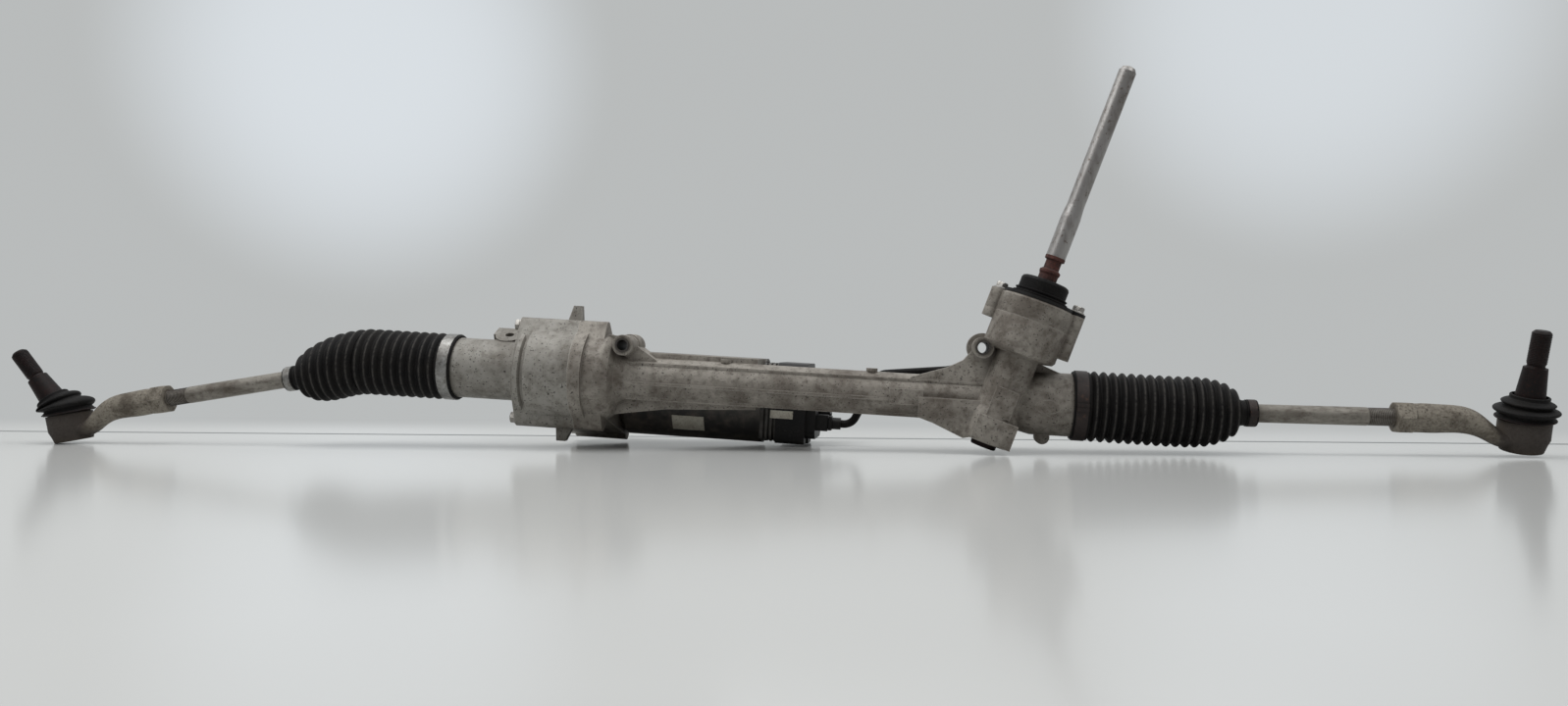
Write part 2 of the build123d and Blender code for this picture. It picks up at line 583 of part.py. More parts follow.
def sensor_stator():
    """Fixed coil ring of the torque sensor, in the bore of its housing."""
    start = HEAD_SEAM
    return one_solid(turned_s([(14.0, start), (HEAD_BORE_R - PRESS_GAP, start),
                               (HEAD_BORE_R - PRESS_GAP, start + 6), (14.0, start + 6)]))


def input_shaft():
    """Splined input shaft, its neck turned with two grooves."""
    base = HEAD_START + 12
    cap_top = HEAD_TOP + SENSOR_COVER_T + CAP_HEIGHT
    return one_solid(turned_s([
        (0, base), (NECK_R, base), (NECK_R, cap_top + 6), (NECK_R + 0.9, cap_top + 8),
        (NECK_R + 0.9, cap_top + 10), (NECK_R - 1.6, cap_top + 12), (NECK_R - 1.6, NECK_TOP - 4),
        (NECK_R + 0.5, NECK_TOP - 3), (NECK_R + 0.5, NECK_TOP), (5.0, NECK_TOP), (5.0, NECK_TOP + 30),
        (0, NECK_TOP + 30)]))


def column_shaft():
    """Drawn steel shaft on the input shaft: thicker foot, domed tip and a clamp flat."""
    body = turned([(0, NECK_TOP), (SHAFT_SLEEVE_R, NECK_TOP), (SHAFT_SLEEVE_R, SHAFT_STEP - 4),
                   (SHAFT_R, SHAFT_STEP + 8), (SHAFT_R, SHAFT_TIP - 5), (SHAFT_R - 2, SHAFT_TIP - 1.5),
                   (SHAFT_R - 5, SHAFT_TIP), (0, SHAFT_TIP)])
    body -= Pos(0, 0, NECK_TOP - 1) * Cylinder(5.0 + PRESS_GAP, 31, align=(Align.CENTER, Align.CENTER, Align.MIN))
    notch = Pos(SHAFT_R, -SHAFT_R, SHAFT_TIP - 20) * Rot(Z=-45) * Box(5, 20, 9)
    return one_solid(PINION_AXIS.location * (body - notch))


# ---------------------------------------------------------------- rack and its support
def rack_tooth_cutter():
    """Trapezoid that leaves the space between two rack teeth, at x = 0."""
    pressure = tan(radians(PRESSURE_ANGLE))
    addendum = RACK_R - 3.5 - RACK_PITCH_DEPTH
    dedendum = 1.25 * NORMAL_MODULE
    half = RACK_TOOTH_PITCH / 4
    outline = Polyline(
        (-(half + (addendum + 1) * pressure), -(RACK_PITCH_DEPTH + addendum + 1)),
        (half + (addendum + 1) * pressure, -(RACK_PITCH_DEPTH + addendum + 1)),
        (half - dedendum * pressure, -(RACK_PITCH_DEPTH - dedendum)),
        (-(half - dedendum * pressure), -(RACK_PITCH_DEPTH - dedendum)), close=True)
    return Pos(0, 0, -RACK_R) * extrude(make_face(outline), amount=2 * RACK_R)


def rack_bar():
    """Round bar with straight teeth cut across a flat on its front."""
    shoulder = INNER_BALL_X - SOCKET_BACK
    spigot = shoulder + RACK_SPIGOT_L
    bar = rod_x(RACK_R, -shoulder, shoulder) + rod_x(RACK_SPIGOT_R, -spigot, spigot)
    spaces_each_way = int((RACK_TRAVEL + PINION_FACE / 2 + 8) / RACK_TOOTH_PITCH) + 1
    flat_half = (spaces_each_way + 0.5) * RACK_TOOTH_PITCH
    flat = Pos(PINION_X, -RACK_R - RACK_R + 3.5, 0) * Box(2 * flat_half, 2 * RACK_R, 3 * RACK_R)
    cutter = rack_tooth_cutter()
    spaces = [Pos(PINION_X + index * RACK_TOOTH_PITCH, 0, 0) * cutter
              for index in range(-spaces_each_way, spaces_each_way + 1)]
    return one_solid(bar - flat - spaces)


def rack_bushing(x_from):
    """Plain bush that guides one end of the rack."""
    return one_solid(ring_x(TUBE_BORE_R - PRESS_GAP, RACK_R + RUNNING_FIT, x_from, x_from + BUSHING_L))


def rack_yoke():
    """Support yoke, hollowed to the back of the rack."""
    body = rod_y(YOKE_R, 6, YOKE_BACK, PINION_X, 0)
    pocket = rod_y(6.5, YOKE_BACK - 10, YOKE_BACK + 1, PINION_X, 0)
    return one_solid(body - rod_x(RACK_R + RUNNING_FIT, PINION_X - 40, PINION_X + 40) - pocket)


def yoke_spring():
    """Stack of flat spring turns between the yoke and its plug."""
    turns = [rod_y(5.6, YOKE_BACK - 10 + 2.7 * index, YOKE_BACK - 10 + 2.7 * index + 1.6, PINION_X, 0)
             for index in range(6)]
    core = rod_y(4.0, YOKE_BACK - 10, YOKE_BACK + YOKE_SPRING_GAP, PINION_X, 0)
    return one_solid(core + turns - rod_y(2.6, YOKE_BACK - 11, YOKE_BACK + 7, PINION_X, 0))


def yoke_plug():
    """Threaded plug behind the yoke, with a square key socket."""
    y_from = YOKE_BACK + YOKE_SPRING_GAP
    plug = rod_y(YOKE_R, y_from, y_from + YOKE_PLUG_T + 2, PINION_X, 0)
    return one_solid(plug - Pos(PINION_X, y_from + YOKE_PLUG_T, 0) * Box(12, 8, 12))


# ---------------------------------------------------------------- belt drive
def toothed_pulley(radius, teeth, bore, x_from, x_to, y, z):
    """Pulley with shallow round-bottomed tooth spaces and two flanges."""
    body = rod_x(radius, x_from, x_to)
    for index in range(teeth):
        angle = 2 * pi * index / teeth
        body -= rod_x(0.9, x_from - 1, x_to + 1, radius * cos(angle), radius * sin(angle))
    body -= rod_x(bore, x_from - 1, x_to + 1)
    return one_solid(Pos(0, y, z) * body)


def driven_pulley():
    return toothed_pulley(DRIVEN_PULLEY_R, 56, NUT_R + PRESS_GAP, BELT_X - 8.5, BELT_X + 8.5, 0, 0)


def drive_pulley():
    return toothed_pulley(DRIVE_PULLEY_R, 20, MOTOR_SHAFT_R + PRESS_GAP, BELT_X - 8.5, BELT_X + 8.5,
                          MOTOR_Y, MOTOR_Z)


def drive_belt():
    """Belt loop a small gap outside both pulleys."""
    half = BELT_WIDTH / 2
    outer = belt_outline(DRIVEN_PULLEY_R + BODY_GAP + BELT_T, DRIVE_PULLEY_R + BODY_GAP + BELT_T,
                         BELT_X - half, BELT_X + half)
    inner = belt_outline(DRIVEN_PULLEY_R + BODY_GAP, DRIVE_PULLEY_R + BODY_GAP, BELT_X - half - 1, BELT_X + half + 1)
    return one_solid(outer - inner)


def ball_nut():
    """Nut that turns on the rack's screw, with a return-tube flat and a shoulder for its bearing."""
    x_from = COVER_FACE_X + 10
    nut = rod_x(NUT_R, x_from, BELT_X + BELT_WIDTH / 2 + 2)
    nut += rod_x(NUT_R + 4, x_from + NUT_BEARING_W + 1, x_from + NUT_BEARING_W + 5)
    nut -= rod_x(RACK_R + RUNNING_FIT, x_from - 1, BELT_X + 13)
    nut -= Pos(x_from + NUT_BEARING_W + 14, 0, NUT_R + 3) * Box(14, 20, 10)
    return one_solid(nut)


def nut_bearing():
    """Large bearing that holds the nut in the cover."""
    x_from = COVER_FACE_X + 10
    return one_solid(ring_x(NUT_BEARING_R - PRESS_GAP, NUT_R + RUNNING_FIT, x_from, x_from + NUT_BEARING_W))


def motor_rotor():
    """Motor shaft with its magnet rotor."""
    shaft = rod_x(MOTOR_SHAFT_R, BELT_X - 10, MOTOR_END_X - 12, MOTOR_Y, MOTOR_Z)
    return one_solid(shaft + rod_x(ROTOR_R, HUB_END_X + 40, MOTOR_END_X - 40, MOTOR_Y, MOTOR_Z))


def motor_stator():
    """Laminated stator ring with its windings' end rings."""
    inner = ROTOR_R + 1
    outer = MOTOR_R - MOTOR_WALL - PRESS_GAP
    ring = ring_x(outer, inner, HUB_END_X + 44, MOTOR_END_X - 44, MOTOR_Y, MOTOR_Z)
    ring += ring_x(outer - 8, inner + 4, HUB_END_X + 36, MOTOR_END_X - 36, MOTOR_Y, MOTOR_Z)
    return one_solid(ring)


def motor_case():
    """Deep-drawn motor can with a turned-in front and a bearing seat."""
    outline = [(HUB_END_X, MOTOR_SHAFT_R + RUNNING_FIT), (HUB_END_X, MOTOR_R - 4), (HUB_END_X + 5, MOTOR_R),
               (MOTOR_END_X, MOTOR_R), (MOTOR_END_X, MOTOR_R - MOTOR_WALL),
               (HUB_END_X + 6, MOTOR_R - MOTOR_WALL), (HUB_END_X + 6, 12), (HUB_END_X + 14, 12),
               (HUB_END_X + 14, MOTOR_SHAFT_R + RUNNING_FIT)]
    return one_solid(Pos(0, MOTOR_Y, MOTOR_Z) * turned_x(outline))


def motor_bolts():
    """Bolts on the ears between motor and heat sink."""
    bolts = []
    for angle in (45, 165, 285):
        y = MOTOR_Y + (MOTOR_R - 9) * cos(radians(angle))
        z = MOTOR_Z + (MOTOR_R - 9) * sin(radians(angle))
        bolts.append(one_solid(rod_x(2.5, MOTOR_END_X - 8, MOTOR_END_X + 12, y, z)))
    return Compound(bolts)


def control_outline(inset, x_from, x_to):
    """Control unit section: flat floor, flat top and rounded corners."""
    width = 2 * (MOTOR_R - 2) - 2 * inset
    height = CONTROL_TOP_Z - CONTROL_FLOOR_Z - 2 * inset
    middle = (CONTROL_TOP_Z + CONTROL_FLOOR_Z) / 2
    face = Plane.YZ.offset(x_from) * Pos(MOTOR_Y, middle) * RectangleRounded(width, height, 9)
    return extrude(face, amount=x_to - x_from)


def heat_sink():
    """Finned aluminium block between the motor and the circuit board."""
    block = control_outline(1.5, MOTOR_END_X, MOTOR_END_X + HEAT_SINK_T)
    for index in range(3):
        x = MOTOR_END_X + 3.5 + 4.5 * index
        block -= control_outline(-1, x, x + 2) - control_outline(4.5, x - 1, x + 3)
    block -= [rod_x(2.7, MOTOR_END_X - 1, MOTOR_END_X + 13, bolt.center().Y, bolt.center().Z)
              for bolt in motor_bolts().solids()]
    return one_solid(block)


def control_cover():
    """Moulded cover with a stepped end and two connector shrouds."""
    x_from = MOTOR_END_X + HEAT_SINK_T
    body = control_outline(0, x_from, CONTROL_END_X - 10) + control_outline(6, x_from, CONTROL_END_X)
    foot = Pos(x_from + 20, MOTOR_Y, CONTROL_FLOOR_Z + 3) * Box(24, 30, 6)
    shape = body + foot
    for y, z, wide, tall in connector_places():
        shroud = Pos(CONTROL_END_X + CONNECTOR_L / 2, y, z) * Box(CONNECTOR_L, wide, tall)
        pocket = Pos(CONTROL_END_X + CONNECTOR_L / 2 + 1, y, z) * Box(CONNECTOR_L, wide - 4, tall - 4)
        shape += shroud - pocket
    return one_solid(shape)


def connector_places():
    """(y, z, width, height) of the power, signal and sensor connectors on the unit's end."""
    middle = (CONTROL_TOP_Z + CONTROL_FLOOR_Z) / 2
    return [(MOTOR_Y + 12, middle + 16, 34, 20), (MOTOR_Y + 14, middle - 16, 26, 16),
            (MOTOR_Y - 22, middle - 18, 18, 16)]


def sensor_plug_place():
    """Middle of the sensor plug's foot, behind the sensor housing."""
    return PINION_AXIS.location * Rot(Z=60) * Pos(HEAD_R + 8, 0, HEAD_SEAM + SENSOR_PLUG_START)


def cable_points():
    """Hand-placed route of the sensor cable, from the control unit to the sensor plug."""
    y, z = connector_places()[2][:2]
    start_x = CONTROL_END_X + CONNECTOR_L + 4
    end = sensor_plug_place()
    rise = end * Pos(0, 0, -26)
    return [Vector(start_x, y, z), Vector(start_x + 20, y, z), Vector(start_x + 46, y - 22, 18),
            Vector(PINION_X - CABLE_TURN, y - 26, 26), rise.position, end.position]


def sensor_cable():
    """Cable in its sheath along the back of the tube."""
    route = FilletPolyline(*cable_points(), radius=13)
    start = route @ 0
    section = Plane(origin=start, z_dir=route % 0) * Circle(CABLE_R)
    return one_solid(sweep(section, path=route))


def cable_plug():
    """Plug and strain relief at the control unit's end of the cable."""
    y, z, wide, tall = connector_places()[2]
    start_x = cable_points()[0].X
    plug_from = CONTROL_END_X + 3
    body = Pos((plug_from + start_x) / 2, y, z) * Box(start_x - plug_from, wide - 5, tall - 5)
    collar_from = CONTROL_END_X + CONNECTOR_L + 1
    collar = Pos((collar_from + start_x) / 2, y, z) * Box(start_x - collar_from, wide - 2, tall - 2)
    tail = rod_x(CABLE_R + 2, start_x, start_x + 9, y, z) - rod_x(CABLE_R + PRESS_GAP, start_x, start_x + 10, y, z)
    return one_solid(body + collar + tail)


def sensor_plug():
    """Plug of the cable in the back of the sensor housing."""
    body = sensor_plug_place() * Pos(-1, 0, SENSOR_PLUG_H / 2) * Box(18, 20, SENSOR_PLUG_H)
    return one_solid(body - rod_s(HEAD_R + PRESS_GAP, HEAD_SEAM - 10, HEAD_TOP + 10))


# ---------------------------------------------------------------- tie rods, in their own frame
# The frame of a side has its origin at the inner ball centre, +X outwards along the rod and +Z up.
def side_location(side):
    """Place of a tie rod that hangs in its inner socket."""
    if side.direction > 0:
        return Pos(INNER_BALL_X, 0, 0) * Rot(Y=-side.rod_rise)
    return Pos(-INNER_BALL_X, 0, 0) * Rot(Z=180) * Rot(Y=-side.rod_rise)


def end_location(side):
    """Place of a tie-rod end: outer ball centre, rolled on the rod's axis."""
    roll = side.end_roll * side.direction
    reach = side.rod_to_nut + ARM_L + NUT_L
    return side_location(side) * Rot(X=roll) * Pos(reach, 0, -ARM_DROP)


def stud_location(side):
    """Place of a ball stud, leaning outwards in its socket."""
    return end_location(side) * Rot(Y=side.stud_lean)


def inner_socket(side):
    """Socket screwed to the rack's end, crimped over the inner ball."""
    body = turned_x([(-SOCKET_BACK, 0), (-SOCKET_BACK, SOCKET_R - 3), (-SOCKET_BACK + 3, SOCKET_R),
                     (SOCKET_MOUTH - 3, SOCKET_R), (SOCKET_MOUTH, SOCKET_R - 4), (SOCKET_MOUTH, 0)])
    body -= Sphere(INNER_BALL_R + RUNNING_FIT)
    body -= rod_x(RACK_SPIGOT_R + PRESS_GAP, -SOCKET_BACK - 1, -SOCKET_BACK + RACK_SPIGOT_L)
    for flat in (-1, 1):
        body -= Pos(-SOCKET_BACK + 6, 0, flat * SOCKET_R) * Box(12, 2 * SOCKET_R, 4)
    return one_solid(axial_location(side) * body)


def axial_location(side):
    """Inner ball centre, facing outwards along the rack."""
    turn = 0 if side.direction > 0 else 180
    return Pos(side.direction * INNER_BALL_X, 0, 0) * Rot(Z=turn)


def tie_rod(side):
    """Ball, neck, rod and the threaded end that runs into the tie-rod end."""
    end = side.rod_to_nut
    rod = turned_x([(0, 0), (0, ROD_NECK_R), (SOCKET_MOUTH + 12, ROD_NECK_R), (SOCKET_MOUTH + 22, ROD_R),
                    (end - THREAD_L + NUT_L, ROD_R), (end - THREAD_L + NUT_L + 1, THREAD_R),
                    (end + NUT_L + 34, THREAD_R), (end + NUT_L + 35, THREAD_R - 1), (end + NUT_L + 35, 0)])
    return one_solid(side_location(side) * (rod + Sphere(INNER_BALL_R)))


def lock_nut(side):
    """Hexagon nut, chamfered at both ends."""
    nut = hexagon_x(NUT_FLATS, side.rod_to_nut, side.rod_to_nut + NUT_L)
    round_off = turned_x([(side.rod_to_nut, 0), (side.rod_to_nut, NUT_FLATS / 2),
                          (side.rod_to_nut + 2, NUT_FLATS / 2 + 2.3),
                          (side.rod_to_nut + NUT_L - 2, NUT_FLATS / 2 + 2.3),
                          (side.rod_to_nut + NUT_L, NUT_FLATS / 2), (side.rod_to_nut + NUT_L, 0)])
    bore = rod_x(THREAD_R + PRESS_GAP, side.rod_to_nut - 1, side.rod_to_nut + NUT_L + 1)
    return one_solid(side_location(side) * ((nut & round_off) - bore))


def arm_section(x, z, half_width, half_height):
    """One oval section of the forged arm."""
    return Plane.YZ.offset(x) * Pos(0, z) * Ellipse(half_width, half_height)


def rod_end(side):
    """Forged tie-rod end: threaded arm that bends down into the ball housing."""
    arm = loft([arm_section(-ARM_L, ARM_DROP, 12.5, 12.5), arm_section(-ARM_L + 14, ARM_DROP, 13.5, 13.5),
                arm_section(-END_R - 42, ARM_DROP, 12.5, 12.8), arm_section(-END_R - 24, ARM_DROP - 2.5, 13, 11.8),
                arm_section(-END_R - 10, -1, 14, 10), arm_section(-8, -4, 16, 9)])
    collar = Pos(-ARM_L, 0, ARM_DROP) * hexagon_x(24.0, 0, 12)
    housing = turned([(0, -END_BOTTOM), (END_PLUG_R + 3, -END_BOTTOM), (END_R - 2, -END_BOTTOM + 7),
                      (END_R, -END_BOTTOM + 12), (END_R, END_TOP - 5), (END_R - 2, END_TOP - 5),
                      (END_R - 2, END_TOP - 2), (END_R - 1, END_TOP - 2), (END_R - 1, END_TOP), (0, END_TOP)])
    mouth = turned([(0, OUTER_MOUTH), (sqrt(OUTER_BALL_R ** 2 - OUTER_MOUTH ** 2), OUTER_MOUTH),
                    (END_R - 5, END_TOP + 1), (0, END_TOP + 1)])
    plug_seat = turned([(0, -END_BOTTOM - 1), (END_PLUG_R, -END_BOTTOM - 1), (END_PLUG_R, -END_BOTTOM + 4),
                        (9, -END_BOTTOM + 4), (9, -9), (0, -9)])
    arm_bore = rod_x(THREAD_R + PRESS_GAP, -ARM_L - 1, -ARM_L + 42, 0, ARM_DROP)
    shape = arm + collar + housing - Sphere(OUTER_BALL_R + RUNNING_FIT) - mouth - plug_seat - arm_bore
    return one_solid(end_location(side) * shape)


def end_plug(side):
    """Dished disc closing the bottom of the ball housing."""
    disc = turned([(0, -END_BOTTOM + 0.6), (END_PLUG_R - 5, -END_BOTTOM + 0.6), (END_PLUG_R - 3, -END_BOTTOM),
                   (END_PLUG_R - PRESS_GAP, -END_BOTTOM), (END_PLUG_R - PRESS_GAP, -END_BOTTOM + 3.8),
                   (8.5, -END_BOTTOM + 3.8), (8.5, -10), (0, -10)])
    return one_solid(end_location(side) * (disc - Sphere(OUTER_BALL_R + RUNNING_FIT)))


def ball_stud(side):
    """Ball, neck, taper and thread."""
    stud = turned([(0, 0), (STUD_NECK_R, 0), (STUD_NECK_R, TAPER_START - 3), (TAPER_BIG_R, TAPER_START),
                   (TAPER_SMALL_R, TAPER_END), (STUD_THREAD_R, TAPER_END), (STUD_THREAD_R - 0.8, TAPER_END + 2),
                   (STUD_THREAD_R, TAPER_END + 4), (STUD_THREAD_R, STUD_TIP - 2), (STUD_THREAD_R - 2, STUD_TIP),
                   (0, STUD_TIP)])
    return one_solid(stud_location(side) * (stud + Sphere(OUTER_BALL_R)))


def skin(sections):
    """Ruled solid through circles given as (location, radius)."""
    return loft([place * Circle(radius) for place, radius in sections], ruled=True)


def leaning_ring(side, height, lean_share):
    """Place of a boot ring: its height above the ball and its share of the stud's lean."""
    return Rot(Y=side.stud_lean * lean_share) * Pos(0, 0, height)


def dust_boot(side):
    """Rubber boot with two bulges, from the housing's rim to the stud."""
    foot = END_R + BOOT_FOOT
    rings = [(END_TOP - 4.5, 0.0, foot), (END_TOP - 2.0, 0.0, foot), (END_TOP, 0.0, END_R),
             (END_TOP + 3.5, 0.15, BOOT_R), (END_TOP + 6.5, 0.4, BOOT_R - 3.5), (END_TOP + 8.5, 0.55, BOOT_R - 8),
             (END_TOP + 11, 0.75, BOOT_R - 5), (END_TOP + 13.5, 0.9, BOOT_R - 9.5),
             (END_TOP + 15, 1.0, TAPER_BIG_R + 3.5), (END_TOP + 18, 1.0, TAPER_BIG_R + 3.5)]
    outer = skin([(leaning_ring(side, height, share), radius) for height, share, radius in rings])
    foot_r = END_R - 2.0 + PRESS_GAP
    inner = turned([(0, END_TOP - 5.5), (foot_r, END_TOP - 5.5), (foot_r, END_TOP - 2.0), (foot_r + 1, END_TOP - 2.0),
                    (foot_r + 1, END_TOP), (0, END_TOP)])
    hollow = [(END_TOP - 0.5, 0.0, END_R - 3.5), (END_TOP + 3.5, 0.15, BOOT_R - 2),
              (END_TOP + 6.5, 0.4, BOOT_R - 5.5), (END_TOP + 8.5, 0.55, BOOT_R - 10),
              (END_TOP + 11, 0.75, BOOT_R - 7), (END_TOP + 13.2, 0.9, TAPER_BIG_R + 2)]
    inner += skin([(leaning_ring(side, height, share), radius) for height, share, radius in hollow])
    inner += Rot(Y=side.stud_lean) * Pos(0, 0, TAPER_START - 2) * Cylinder(
        TAPER_BIG_R + BODY_GAP, 12, align=(Align.CENTER, Align.CENTER, Align.MIN))
    return one_solid(end_location(side) * (outer - inner))


def boot_ring(side):
    """Wire ring that holds the boot's foot on the housing."""
    ring = Pos(0, 0, END_TOP - 3.2) * Torus(END_R + BOOT_FOOT + BOOT_WIRE_R + PRESS_GAP, BOOT_WIRE_R)
    return one_solid(end_location(side) * ring)


# ---------------------------------------------------------------- bellows
def bellows_path(side, share):
    """Place on the bellows' centre line, from its seat (0) to its outer neck (1)."""
    start = SEAT_END_X - INNER_BALL_X
    rise = radians(side.rod_rise)
    end_x, end_z = side.neck_at * cos(rise), side.neck_at * sin(rise)
    x = start + (end_x - start) * share
    bend = max(0.0, (share - 0.2) / 0.8)
    slope = tan(rise) * (end_x - start) * 0.8
    z = end_z * (3 * bend ** 2 - 2 * bend ** 3) + slope * (bend ** 3 - bend ** 2)
    turn = atan2(end_z * 6 * (bend - bend ** 2) + slope * (3 * bend ** 2 - 2 * bend), (end_x - start) * 0.8)
    return Pos(x, 0, z) * Rot(Y=-degrees(turn))


def fold_radii():
    """Crest radius of each fold, the last ones closing to the neck in a blunt curve."""
    neck_r = ROD_R + 5
    shares = [0.97 * (index + 1) / TAPER_FOLDS for index in range(TAPER_FOLDS)]
    return [BELLOWS_R] * BIG_FOLDS + [neck_r + (BELLOWS_R - neck_r) * sqrt(1 - t ** 2) for t in shares]


def bellows_rings(side, depth, radii):
    """Rings that shape the folds: each fold rises from its valley to a flat crest and back."""
    places = []
    for index, (crest, valley) in enumerate(radii):
        for share, radius in ((0.04, valley), (0.38, crest), (0.66, crest), (0.96, valley)):
            place = bellows_path(side, (index + share) / len(radii))
            places.append((place * Rot(Y=90), radius - depth))
    return places


def bellows(side):
    """Folded rubber bellows, its big collar on the housing and its neck on the tie rod."""
    start = SEAT_END_X - INNER_BALL_X
    crests = fold_radii()
    valleys = [max(crest - FOLD_DEPTH, ROD_R + 4) for crest in crests]
    hollow_crests = [crest if index < BIG_FOLDS else valley
                     for index, (crest, valley) in enumerate(zip(crests, valleys[1:] + [ROD_R + 3.2]))]
    hollow_valleys = valleys[:BIG_FOLDS] + hollow_crests[BIG_FOLDS:]
    shell = skin(bellows_rings(side, 0.0, list(zip(crests, valleys))))
    shell -= skin(bellows_rings(side, BELLOWS_WALL, list(zip(hollow_crests, hollow_valleys))))
    collar = ring_x(SEAT_R + BODY_GAP + BELLOWS_WALL + 0.4, SEAT_R + BODY_GAP, start - COLLAR_L, start + 1.2)
    collar += ring_x(SEAT_R + BODY_GAP + BELLOWS_WALL, BELLOWS_R - FOLD_DEPTH - BELLOWS_WALL, start + 0.3, start + 1.2)
    neck_start = bellows_path(side, 1.0)
    neck = neck_start * ring_x(ROD_R + 3.2, ROD_R + BODY_GAP, -2.0, SMALL_NECK_L)
    return one_solid(axial_location(side) * (shell + collar + neck))


def clamp_band(radius, width, ear_height):
    """Band clamp round X with its crimped ear on the front."""
    band = ring_x(radius + CLAMP_T, radius, 0, width)
    ear = Pos(width / 2, -(radius + CLAMP_T + ear_height / 2 - 0.4), 0) * Box(width, ear_height, 2.2 * ear_height)
    ear -= Pos(width / 2, -(radius + CLAMP_T + ear_height), 0) * Box(width + 1, ear_height / 2, ear_height * 0.5)
    return band + ear


def large_clamp(side):
    """Steel band round the bellows' collar."""
    start = SEAT_END_X - INNER_BALL_X
    radius = SEAT_R + BODY_GAP + BELLOWS_WALL + 0.4 + PRESS_GAP
    band = clamp_band(radius, CLAMP_W, 3.2)
    return one_solid(axial_location(side) * (Pos(start - COLLAR_L + 2, 0, 0) * band))


def small_clamp(side):
    """Spring band round the bellows' neck."""
    band = clamp_band(ROD_R + 3.2 + PRESS_GAP, SMALL_CLAMP_W, 2.6)
    outer_part = Pos(SMALL_NECK_L - SMALL_CLAMP_W - 1.5, 0, 0)
    return one_solid(axial_location(side) * (bellows_path(side, 1.0) * outer_part * band))


# ---------------------------------------------------------------- writing
def write_castings():
    write("gear_housing", gear_housing())
    write("belt_cover", belt_cover())
    write("cover_bolts", cover_bolts())
    write("mount_sleeves", mount_sleeves())


def write_tower():
    write("sensor_housing", sensor_housing())
    write("sensor_cover", sensor_cover())
    write("sensor_screws", sensor_screws())
    write("dust_cap", dust_cap())
    write("input_bearing", bearing(15.0 - PRESS_GAP, NECK_R + RUNNING_FIT, HEAD_TOP - 11, HEAD_TOP - 1))
    write("pinion_bearing", bearing(COLUMN_BORE_R - PRESS_GAP, LOWER_JOURNAL_R + RUNNING_FIT,
                                    COLUMN_BOTTOM + 9, COLUMN_BOTTOM + 19))
    write("upper_bearing", bearing(COLUMN_BORE_R - PRESS_GAP, 7.4 + RUNNING_FIT, HEAD_START - 24, HEAD_START - 14))
    write("pinion_plug", pinion_plug())
    write("pinion_shaft", pinion_shaft())
    write("sensor_rotor", sensor_rotor())
    write("sensor_stator", sensor_stator())
    write("input_shaft", input_shaft())
    write("column_shaft", column_shaft())


def write_rack():
    write("rack_bar", rack_bar())
    write("left_rack_bushing", rack_bushing(COVER_FACE_X - BUSHING_L))
    write("right_rack_bushing", rack_bushing(RIGHT_BORE_X - BUSHING_L))
    write("rack_yoke", rack_yoke())
    write("yoke_spring", yoke_spring())
    write("yoke_plug", yoke_plug())


def write_drive():
    write("driven_pulley", driven_pulley())
    write("drive_pulley", drive_pulley())
    write("drive_belt", drive_belt())
    write("ball_nut", ball_nut())
    write("nut_bearing", nut_bearing())
    write("motor_rotor", motor_rotor())
    write("motor_stator", motor_stator())
    write("motor_case", motor_case())
    write("motor_bolts", motor_bolts())
    write("heat_sink", heat_sink())
    write("control_cover", control_cover())
    write("sensor_cable", sensor_cable())
    write("cable_plug", cable_plug())
    write("sensor_plug", sensor_plug())


def write_side(side):
    pieces = {"inner_socket": inner_socket, "tie_rod": tie_rod, "lock_nut": lock_nut, "rod_end": rod_end,
              "end_plug": end_plug, "ball_stud": ball_stud, "dust_boot": dust_boot, "boot_ring": boot_ring,
              "bellows": bellows, "large_clamp": large_clamp, "small_clamp": small_clamp}
    for name, make in pieces.items():
        write(f"{side.name}_{name}", make(side))


write_castings()
write_tower()
write_rack()
write_drive()
write_side(LEFT)
write_side(RIGHT)
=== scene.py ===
"""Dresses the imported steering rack: castings, rubber, shafts and ball joints around the fixed frame."""

import json
import logging
from dataclasses import dataclass, field, replace
from enum import Enum
from math import cos, pi, radians, sin, tan
from typing import Any, Iterable, Mapping, Sequence

import bmesh
import bpy
from mathutils import Matrix, Vector

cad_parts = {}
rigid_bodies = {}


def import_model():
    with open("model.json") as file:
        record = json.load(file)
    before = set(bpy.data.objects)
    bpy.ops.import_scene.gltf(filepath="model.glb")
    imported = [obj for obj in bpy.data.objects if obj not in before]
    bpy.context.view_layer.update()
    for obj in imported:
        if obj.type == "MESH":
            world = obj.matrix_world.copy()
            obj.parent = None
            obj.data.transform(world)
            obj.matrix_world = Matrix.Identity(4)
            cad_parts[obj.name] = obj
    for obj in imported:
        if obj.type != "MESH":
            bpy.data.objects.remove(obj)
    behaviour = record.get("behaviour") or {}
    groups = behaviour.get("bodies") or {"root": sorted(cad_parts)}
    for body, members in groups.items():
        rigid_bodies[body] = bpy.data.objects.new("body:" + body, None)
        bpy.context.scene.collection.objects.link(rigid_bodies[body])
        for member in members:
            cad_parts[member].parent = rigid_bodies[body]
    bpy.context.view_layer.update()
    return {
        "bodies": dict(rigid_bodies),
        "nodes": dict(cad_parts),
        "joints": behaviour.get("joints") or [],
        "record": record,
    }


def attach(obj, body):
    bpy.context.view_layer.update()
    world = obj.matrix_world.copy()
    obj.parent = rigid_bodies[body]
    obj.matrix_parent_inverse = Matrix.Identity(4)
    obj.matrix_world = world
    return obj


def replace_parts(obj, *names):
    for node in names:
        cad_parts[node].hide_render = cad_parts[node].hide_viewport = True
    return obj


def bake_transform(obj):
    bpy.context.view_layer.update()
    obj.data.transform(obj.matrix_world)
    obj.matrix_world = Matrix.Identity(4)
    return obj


LOG = logging.getLogger("steering_rack")
MM = 0.001
Colour = tuple[float, float, float]
